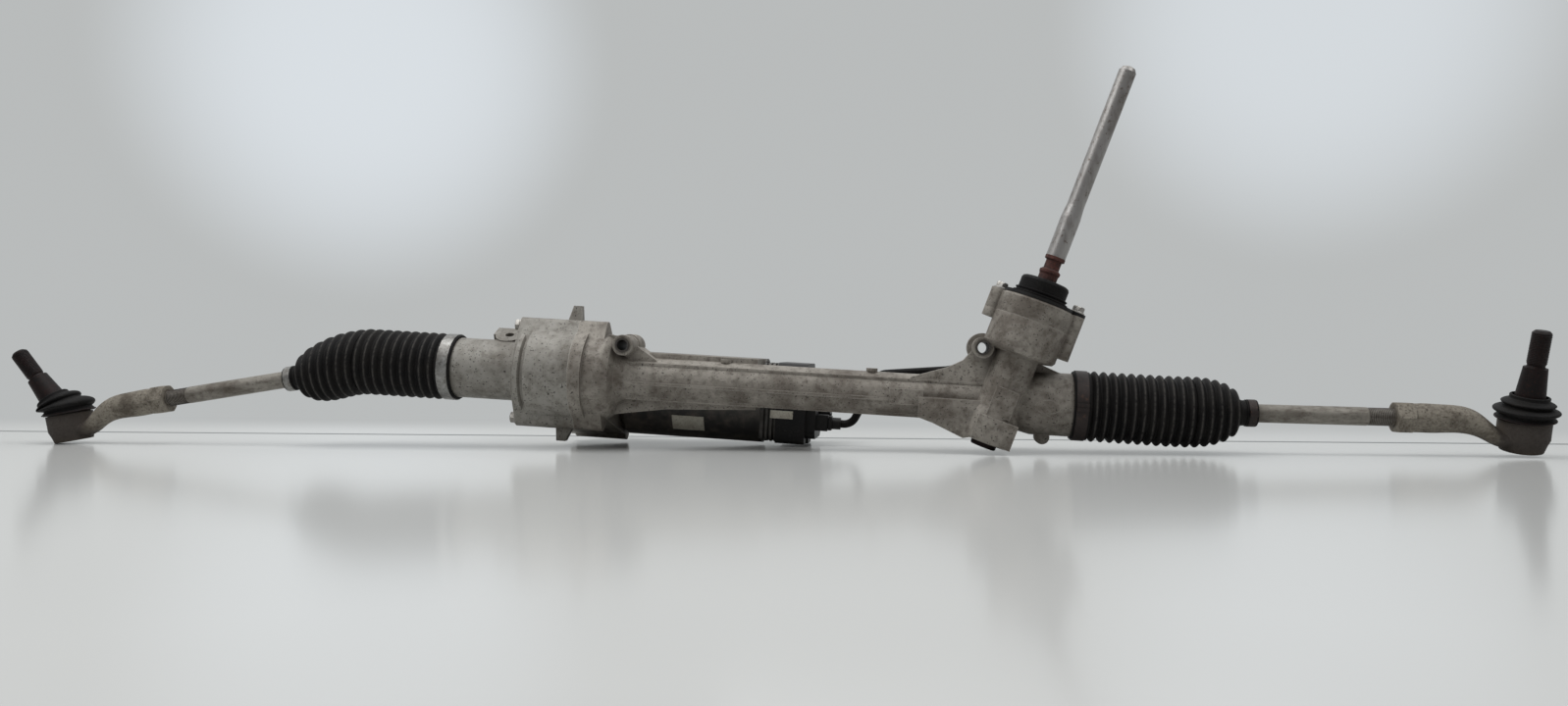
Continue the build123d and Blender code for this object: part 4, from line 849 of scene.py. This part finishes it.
@dataclass
class Bellows:
    """Folded rubber bellows, built bent from the housing's seat to the tie rod's neck."""

    side: Side
    tree: GeometryTree
    radius: float = 33.5
    depth: float = 4.0
    folds: int = 16
    taper_from: float = 10.8
    wall: float = 1.3
    collar: float = 16.0
    neck: float = 16.0
    rows_per_fold: int = 14
    bend_at: float = 35.0
    bend_from: float = 0.5

    def build(self) -> None:
        """Makes the collar, the two lengths of folds and the neck."""
        rise = radians(self.side.rod_rise)
        start = SEAT_END_X - INNER_BALL_X
        end_x, end_z = self.side.neck_at * cos(rise), self.side.neck_at * sin(rise)
        span = end_x - start
        split = int((self.bend_at - start) / span * self.folds)
        sizes = {"Folds": float(self.folds), "Seat": start * MM, "Span": span * MM, "Bend from": self.bend_from,
                 "Neck height": end_z * MM,
                 "Neck slope": tan(rise) * span * (1 - self.bend_from) * MM, "Crest radius": self.radius * MM,
                 "Fold depth": self.depth * MM, "Taper from": self.taper_from,
                 "Neck radius": (ROD_R + 5) * MM, "Least radius": (ROD_R + 4) * MM}
        seat_edge = self.side.axial @ Vector(((start + 1) * MM, 0, 0))
        bend_edge = self.side.axial @ Vector(((start + span * split / self.folds) * MM, 0, 0))
        neck_edge = self.side.axial @ Vector(((end_x - 6) * MM, 0, end_z * MM))
        for suffix, first, last, bodies, ends in (
                ("bellows", 0, split, ("housing", "rack"), (seat_edge, bend_edge)),
                ("bellows_outer", split, self.folds, ("rack", self.side.rod_body), (bend_edge, neck_edge))):
            skin = self.tree.mesh(RUBBER, {**sizes, "First fold": float(first), "Last fold": float(last),
                                           "Rows": (last - first) * self.rows_per_fold + 1})
            piece = add(f"{self.side.name}_{suffix}_folds", solidified(skin, self.wall * MM), self.side.axial,
                        RUBBER)
            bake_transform(piece)
            if first == 0:
                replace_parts(piece, f"{self.side.name}_bellows")
        self.build_ends(start, end_x, end_z, rise)

    def build_ends(self, start: float, end_x: float, end_z: float, rise: float) -> None:
        """Makes the collar on the seat and the neck on the rod.

        Args:
            start: The seat's end, from the inner ball.
            end_x: The neck's place along the rack.
            end_z: The neck's height.
            rise: The rod's rise in radians.
        """
        inner = SEAT_R + 0.3
        collar = [(start - self.collar, inner), (start - self.collar, inner + 1.7),
                  (start - self.collar + 0.6, inner + 2.1), (start - 1, inner + 2.1), (start + 0.6, inner + 0.6),
                  (start + 1.2, self.radius - self.depth + 0.3), (start + 1.2, self.radius - self.depth - 1.2),
                  (start + 0.3, self.radius - self.depth - 1.2), (start + 0.3, inner)]
        add(f"{self.side.name}_bellows_collar", turned(collar), self.side.axial, RUBBER, "housing")
        neck = [(-1.6, ROD_R + 0.3), (-1.6, ROD_R + 4.1), (0.2, ROD_R + 4.4), (2.2, ROD_R + 3.4),
                (5.4, ROD_R + 3.2), (5.8, ROD_R + 4.0), (6.9, ROD_R + 4.0), (7.2, ROD_R + 3.2),
                (self.neck - 1.2, ROD_R + 3.2), (self.neck - 0.9, ROD_R + 3.9), (self.neck - 0.2, ROD_R + 3.7),
                (self.neck, ROD_R + 3.0), (self.neck, ROD_R + 0.3)]
        place = self.side.axial @ Matrix.Translation((end_x * MM, 0, end_z * MM)) @ Matrix.Rotation(-rise, 4, "Y")
        add(f"{self.side.name}_bellows_neck", turned(neck), place, RUBBER, self.side.rod_body)


@dataclass
class BallJoint:
    """Tie-rod end: forged arm, boot, and the threads of rod and stud."""

    side: Side
    thread: GeometryTree
    pitch: float = 1.5
    thread_depth: float = 0.95
    stain: Colour = (0.036, 0.028, 0.024)
    boot_rings: list[tuple[float, float, float]] = field(default_factory=lambda: [
        (-4.5, 0.0, 23.2), (-3.9, 0.0, 23.9), (-2.0, 0.0, 23.9), (-0.6, 0.0, 22.7), (0.4, 0.02, 22.4),
        (1.6, 0.06, 24.8), (3.4, 0.15, 27.0), (5.2, 0.28, 26.6), (6.8, 0.42, 23.4), (8.0, 0.52, 19.6),
        (8.8, 0.58, 19.2), (9.8, 0.66, 21.2), (11.2, 0.78, 22.2), (12.6, 0.88, 20.6), (13.8, 0.95, 17.8),
        (14.8, 1.0, 16.5), (16.2, 1.0, 16.4), (17.4, 1.0, 16.4), (18.0, 1.0, 15.9)])

    def build(self) -> None:
        """Makes the boot, both threads and the softened forging."""
        name, rod_body = self.side.name, self.side.rod_body
        stained = replace(FORGED, name=f"{name}_end_forging", stain=self.stain,
                          stain_at=tuple(self.side.end.translation))
        softened(f"{name}_rod_end", stained, 0.9, rod_body)
        softened(f"{name}_lock_nut", FORGED, 0.5, rod_body)
        self.screw(f"{name}_stud_thread", self.side.lean(1.0) @ STAND_UP, TAPER_END + 3, STUD_TIP - 1.6,
                   DARK, f"{name}_stud")
        nut = self.side.rod_to_nut
        self.screw(f"{name}_rod_thread", self.side.rod, nut - 24, nut - 0.5, DARK, rod_body)
        self.boot()

    def screw(self, name: str, place: Matrix, start: float, end: float, finish: Finish, body: str) -> None:
        """Lays a thread round a plain screw.

        Args:
            name: The piece's name.
            place: The screw's axis, along X.
            start: Where the thread starts, in millimetres.
            end: Where it ends.
            finish: Its surface.
            body: The body that it rides on.
        """
        length = end - start
        mesh = self.thread.mesh(finish, {
            "Crest radius": (STUD_THREAD_R + 0.35) * MM, "Depth": self.thread_depth * MM, "Pitch": self.pitch * MM,
            "Length": length * MM, "Rows": int(length / self.pitch * 8) + 1})
        add(name, mesh, place @ Matrix.Translation((start * MM, 0, 0)), finish, body)

    def boot(self) -> None:
        """Rubber boot with two bulges, leaning more and more with the stud."""
        body = bmesh.new()
        segments, rings = 64, []
        fine = self.smooth_rings(4)
        for inset, order in ((0.0, fine), (1.5, fine[::-1])):
            for height, share, reach in order:
                place = self.side.lean(share)
                radius = (reach - inset) * MM
                rings.append([body.verts.new(place @ Vector((
                    radius * cos(2 * pi * k / segments), radius * sin(2 * pi * k / segments),
                    (END_TOP + height) * MM))) for k in range(segments)])
        skinned(body, rings, closed=True)
        mesh = closed_mesh(body, "boot")
        shade(mesh, Shading.SMOOTH)
        name = self.side.name
        piece = add(f"{name}_boot_rubber", mesh, Matrix.Identity(4), RUBBER)
        foot = self.side.lean(0) @ Vector((0, 0, (END_TOP + 0.5) * MM))
        collar = self.side.lean(0) @ Vector((0, 0, (END_TOP + 15) * MM))
        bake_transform(piece)
        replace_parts(piece, f"{name}_dust_boot")

    def smooth_rings(self, steps: int) -> list[tuple[float, float, float]]:
        """Rounds the boot's outline between its rings.

        Args:
            steps: Rings for each given one.

        Returns:
            (height, share of lean, radius) of each ring.
        """
        given = [Vector(ring) for ring in self.boot_rings]
        fine = []
        for index in range(len(given) - 1):
            before, here = given[max(index - 1, 0)], given[index]
            there, after = given[index + 1], given[min(index + 2, len(given) - 1)]
            for step in range(steps):
                t = step / steps
                slope, curve = there - before, 2 * before - 5 * here + 4 * there - after
                twist = 3 * here - before - 3 * there + after
                fine.append(tuple(0.5 * (2 * here + slope * t + curve * t ** 2 + twist * t ** 3)))
        return fine + [tuple(given[-1])]


@dataclass
class Castings:
    """Gear housing, belt cover and sensor housing, with their bolt heads."""

    heads: GeometryTree
    rounding: float = 0.8
    flats: float = 10.6
    flange: float = 7.0
    flange_rim: float = 1.7
    height: float = 6.3
    head_segments: int = 36
    sunk: float = 2.0
    rim_margin: float = 0.7
    ear_pad: float = 3.0
    drum_angles: tuple[float, ...] = (98, 262)
    lobe_angles: tuple[float, ...] = (70, 0, 290)
    ear_angles: tuple[float, ...] = (0, 115)
    low_ear_angle: float = 174

    def build(self) -> None:
        """Softens the castings' edges and sets the bolt heads."""
        softened("gear_housing", CAST, self.rounding, "housing")
        softened("belt_cover", COVER_CAST, self.rounding, "housing")
        softened("sensor_housing", CAST, self.rounding, "housing")
        reach = DRUM_R + self.rim_margin
        drum = [(COVER_FACE_X - self.sunk, reach * cos(radians(a)), reach * sin(radians(a)))
                for a in self.drum_angles]
        lobe = [(BELT_LOBE_X - self.sunk, MOTOR_Y + LOBE_R * cos(radians(a)), MOTOR_Z + LOBE_R * sin(radians(a)))
                for a in self.lobe_angles]
        self.bolts("cover_bolt_heads", drum + lobe, (0, 0, pi), GEAR)
        tops = [(a, HEAD_TOP + self.ear_pad) for a in self.ear_angles] + [(self.low_ear_angle, HEAD_TOP)]
        screws = [(EAR_X * cos(radians(a)), EAR_X * sin(radians(a)), top) for a, top in tops]
        self.bolts("sensor_screw_heads", screws, (0, -pi / 2, 0), PINION_AXIS)

    def bolts(self, name: str, places: Sequence[tuple[float, float, float]], turn: Sequence[float],
              frame: Matrix) -> None:
        """Sets a flanged hexagon head on each place.

        Args:
            name: The piece's name.
            places: Where the heads sit, in millimetres.
            turn: Turns the heads from +X to the way they face.
            frame: The places' own frame.
        """
        points = bpy.data.meshes.new("spots")
        points.from_pydata([Vector(place) * MM for place in places], [], [])
        spots, head = stand("spots", points), stand("head", self.head())
        mesh = self.heads.mesh(BRIGHT, {"Places": spots, "Head": head, "Turn": turn})
        for helper in (spots, head):
            bpy.data.objects.remove(helper)
        shade(mesh, Shading.BY_ANGLE)
        add(name, mesh, frame, BRIGHT, "housing")

    def head(self) -> bpy.types.Mesh:
        """One flanged hexagon head facing +X, its top chamfered and dished.

        Returns:
            The mesh.
        """
        corner = self.flats / cos(pi / 6) / 2
        rim = self.flange_rim
        rings = [(0.0, self.flange, False), (1.0, self.flange, False), (rim, corner * 1.02, False),
                 (rim, corner, True), (self.height - 1.0, corner, True), (self.height, self.flats * 0.48, False),
                 (self.height, 3.6, False), (self.height - 0.5, 3.2, False)]
        body = bmesh.new()
        rows = []
        for x, radius, pointed in rings:
            row = []
            for k in range(self.head_segments):
                angle = 2 * pi * k / self.head_segments
                here = radius * MM * (cos(pi / 6) / cos(angle % (pi / 3) - pi / 6) if pointed else 1.0)
                row.append(body.verts.new((x * MM, here * cos(angle), here * sin(angle))))
            rows.append(row)
        skinned(body, rows, closed=False)
        body.faces.new(rows[0])
        body.faces.new(rows[-1])
        return closed_mesh(body, "head")


@dataclass
class MotorUnit:
    """Blank labels on the motor can and the control unit."""

    sheet: float = 0.25
    lift: float = 0.05
    motor_arc: tuple[int, int] = (206, 231)
    motor_span: tuple[float, float] = (-91.0, -58.0)
    unit_inset: float = 2.0
    unit_low: float = -33.0
    unit_high: float = -25.0
    unit_span: tuple[float, float] = (10.5, 33.5)

    def build(self) -> None:
        """Lays both labels."""
        angles = list(range(self.motor_arc[0], self.motor_arc[1] + 1))
        self.label("motor_label", [
            (MOTOR_Y + (MOTOR_R + lift) * cos(radians(a)), MOTOR_Z + (MOTOR_R + lift) * sin(radians(a)))
            for lift, way in ((self.lift, angles), (self.sheet, angles[::-1])) for a in way], *self.motor_span)
        front = MOTOR_Y - MOTOR_R + self.unit_inset
        self.label("control_label", [(front, self.unit_low), (front, self.unit_high),
                                     (front - self.sheet, self.unit_high), (front - self.sheet, self.unit_low)],
                   *self.unit_span)

    def label(self, name: str, outline: Sequence[tuple[float, float]], x_from: float, x_to: float) -> None:
        """Lays a thin sheet.

        Args:
            name: The piece's name.
            outline: Its (y, z) section, in millimetres.
            x_from: Where it starts along the gear.
            x_to: Where it ends.
        """
        body = bmesh.new()
        ends = [[body.verts.new((x * MM, y * MM, z * MM)) for y, z in outline] for x in (x_from, x_to)]
        skinned(body, ends, closed=False)
        for end in ends:
            body.faces.new(end)
        made = closed_mesh(body, name)
        shade(made, Shading.BY_ANGLE)
        add(name, made, GEAR, PAPER, "housing")


@dataclass(frozen=True)
class Lamp:
    """A soft square lamp that faces a point."""

    name: str
    place: tuple[float, float, float]
    target: tuple[float, float, float]
    size: float
    power: float

    def hang(self) -> None:
        """Makes the lamp."""
        light = bpy.data.lights.new(self.name, "AREA")
        light.size, light.energy = self.size, self.power
        lamp = stand(self.name, light)
        lamp.location = self.place
        lamp.rotation_euler = (Vector(self.target) - Vector(self.place)).to_track_quat("-Z", "Y").to_euler()


LAMPS = (Lamp("lamp_top", (-0.5, -0.2, 1.7), (0.0, 0.0, 0.0), 1.2, 19.0),
         Lamp("lamp_left", (-1.5, -1.3, 1.5), (0.0, 0.0, 0.0), 1.0, 6.0),
         Lamp("lamp_right", (1.5, -0.5, 1.6), (0.2, 0.0, 0.0), 1.0, 9.0),
         Lamp("lamp_back", (0.3, 1.6, 1.6), (0.0, 0.0, 0.0), 1.6, 5.0))


@dataclass
class Studio:
    """Pale floor, soft lamps, a pale room and the camera."""

    floor_z: float = -0.1
    lens: float = 27.19
    film: float = 36.0
    clip: tuple[float, float] = (0.01, 50.0)
    eye: tuple[float, float, float] = (189.0, -1190.9, 94.9)
    look: tuple[float, float, float] = (-0.1160, 0.9933, 0.0)
    floor_back: float = 135.0
    floor_reach: float = 3200.0
    floor_fade: float = 420.0
    # A dark strip at the table's back edge: painted shade of its join with the backdrop.
    shaded_seam: float = 14.0
    table: Colour = (0.66, 0.67, 0.66)
    table_roughness: float = 0.15
    shaded_seam_colour: Colour = (0.14, 0.15, 0.15)
    shaded_seam_roughness: float = 0.5
    specular: float = 0.42
    backdrop: Colour = (0.485, 0.50, 0.50)
    front: Colour = (0.16, 0.16, 0.165)
    ceiling: Colour = (0.85, 0.87, 0.88)
    # Two bright spots on the backdrop: painted reflections of ceiling lamps.
    lamp_reflection: Colour = (0.84, 0.90, 0.96)
    lamp_reflections: tuple[tuple[float, Colour], ...] = ((0.6, (-0.430, 0.873, 0.228)), (0.5, (0.290, 0.922, 0.256)))
    fill_low: Colour = (0.12, 0.12, 0.12)
    fill_high: Colour = (0.42, 0.42, 0.42)

    def build(self) -> None:
        """Lays the floor, hangs the lamps, paints the room and sets the camera."""
        self.floor()
        for lamp in LAMPS:
            lamp.hang()
        self.room()
        self.camera()

    def floor(self) -> None:
        """A glossy pale table under the gear, a dark strip of painted shade at its back, and a table beyond that
        fades into the backdrop.
        """
        reach, back, z = self.floor_reach * MM, self.floor_back * MM, self.floor_z * MM
        mesh = bpy.data.meshes.new("floor")
        rows = (-reach, back - self.shaded_seam * MM, back, reach)
        mesh.from_pydata([(x, y, z) for y in rows for x in (-reach, reach)], [],
                         [(0, 1, 3, 2), (2, 3, 5, 4), (4, 5, 7, 6)])
        for name, colour, roughness, fades in (
                ("table", self.table, self.table_roughness, False),
                ("shaded_seam", self.shaded_seam_colour, self.shaded_seam_roughness, False),
                ("far_table", self.table, self.table_roughness, True)):
            made, graph = blank_material(name)
            shader = graph.value("ShaderNodeBsdfPrincipled", inputs={
                "Base Color": (*colour, 1), "Roughness": roughness, "Specular IOR Level": self.specular})
            if fades:
                apart = graph.node("ShaderNodeSeparateXYZ", inputs={
                    0: graph.value("ShaderNodeTexCoord", output="Object")})
                away = Value(graph, apart.outputs[1]).ramp(back, self.floor_fade * MM)
                wall = graph.value("ShaderNodeEmission", inputs={"Color": (*self.backdrop, 1)})
                shader = graph.value("ShaderNodeMixShader", inputs={0: self.seen(graph) * away, 1: shader, 2: wall})
            graph.node("ShaderNodeOutputMaterial", inputs={"Surface": shader})
            mesh.materials.append(made)
        for index, polygon in enumerate(mesh.polygons):
            polygon.material_index = index
        floor = stand("floor", mesh)

    def seen(self, graph: Graph) -> Value:
        """1 for rays that show the backdrop to the eye, directly or in metal or glass, and 0 for light.

        Args:
            graph: The material's or the world's tree.

        Returns:
            The share, 0 or 1.
        """
        path = graph.node("ShaderNodeLightPath")
        rays = [Value(graph, path.outputs[f"Is {kind} Ray"]) for kind in ("Camera", "Glossy", "Transmission")]
        return (rays[0] + rays[1] + rays[2]).call("MINIMUM", 1.0)

    def room(self) -> None:
        """Paints the backdrop by direction, with two painted reflections of ceiling lamps, and the dimmer light
        that falls on the gear.
        """
        world = bpy.data.worlds.new("room")
        bpy.context.scene.world = world
        world.use_nodes = True
        world.node_tree.nodes.clear()
        graph = Graph(world.node_tree)
        path = graph.node("ShaderNodeLightPath")
        way = graph.value("ShaderNodeTexCoord", output="Generated")
        apart = graph.node("ShaderNodeSeparateXYZ", inputs={0: way})
        behind, above = Value(graph, apart.outputs[1]), Value(graph, apart.outputs[2])
        facing = graph.mix(Value(graph, path.outputs["Is Camera Ray"]), self.front, self.backdrop)
        wall = graph.mix(behind.ramp(-0.3, 0.45), facing, self.backdrop)
        wall = graph.mix(above.ramp(0.35, 0.8), wall, self.ceiling)
        # Painted reflections of ceiling lamps on the backdrop.
        for strength, place in self.lamp_reflections:
            near = graph.value("ShaderNodeVectorMath", {"operation": "DOT_PRODUCT"}, {0: way, 1: place}, "Value")
            wall = graph.mix(near.ramp(0.98, 1.0) * strength, wall, self.lamp_reflection)
        fill = graph.mix(above.ramp(-0.2, 0.9), self.fill_low, self.fill_high)
        shown = graph.mix(self.seen(graph), fill, wall)
        background = graph.value("ShaderNodeBackground", inputs={"Color": shown, "Strength": 1.0})
        graph.node("ShaderNodeOutputWorld", inputs={"Surface": background})

    def camera(self) -> None:
        """Sets the camera level, a little above the floor."""
        data = bpy.data.cameras.new("camera")
        data.lens, data.sensor_width = self.lens, self.film
        data.clip_start, data.clip_end = self.clip
        camera = stand("camera", data)
        camera.location = Vector(self.eye) * MM
        camera.rotation_euler = Vector(self.look).to_track_quat("-Z", "Y").to_euler()
        bpy.context.scene.camera = camera
        bpy.context.scene.view_settings.view_transform = "Standard"


NODE_FINISHES: dict[Finish, tuple[str, ...]] = {
    BRIGHT: ("cover_bolts", "sensor_screws", "input_bearing", "pinion_bearing", "upper_bearing",
             "pinion_shaft", "sensor_rotor", "rack_bar", "rack_yoke", "yoke_spring", "yoke_plug", "driven_pulley",
             "drive_pulley", "ball_nut", "nut_bearing", "motor_rotor", "motor_bolts", "left_inner_socket",
             "right_inner_socket"),
    BAND: ("left_large_clamp", "left_small_clamp"),
    SLEEVE: ("mount_sleeves",),
    SHAFT: ("column_shaft",),
    RUST: ("input_shaft",),
    ROD: ("left_tie_rod", "right_tie_rod"),
    DARK: ("left_ball_stud", "right_ball_stud", "left_end_plug", "right_end_plug", "pinion_plug",
           "left_boot_ring", "right_boot_ring"),
    RUSTY_BAND: ("right_large_clamp", "right_small_clamp"),
    RUBBER: ("dust_cap", "drive_belt", "sensor_cable"),
    PLASTIC: ("control_cover", "cable_plug", "sensor_plug", "sensor_cover"),
    PAINT: ("motor_case",),
    SINK: ("heat_sink",),
    BRONZE: ("left_rack_bushing", "right_rack_bushing"),
    COPPER: ("motor_stator", "sensor_stator"),
}


def dress_nodes(nodes: Mapping[str, bpy.types.Object]) -> None:
    """Gives each CAD node that stays its finish.

    Args:
        nodes: The frame's nodes by name.
    """
    for finish, names in NODE_FINISHES.items():
        for name in names:
            nodes[name].data.materials.clear()
            nodes[name].data.materials.append(finish.material())


def corners(bounds: Iterable[Vector]) -> list[list[float]]:
    """A box's two corners as plain lists."""
    return [list(corner) for corner in bounds]


def main() -> None:
    """Builds every sub-assembly around the frame."""
    logging.basicConfig(level=logging.INFO, format="%(message)s")
    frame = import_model()
    Studio().build()
    dress_nodes(frame["nodes"])
    folds, thread, bolts = fold_tree(), thread_tree(), fastener_tree()
    Castings(bolts).build()
    MotorUnit().build()
    for side in (LEFT, RIGHT):
        Bellows(side, folds).build()
        BallJoint(side, thread).build()


if __name__ == "__main__":
    main()
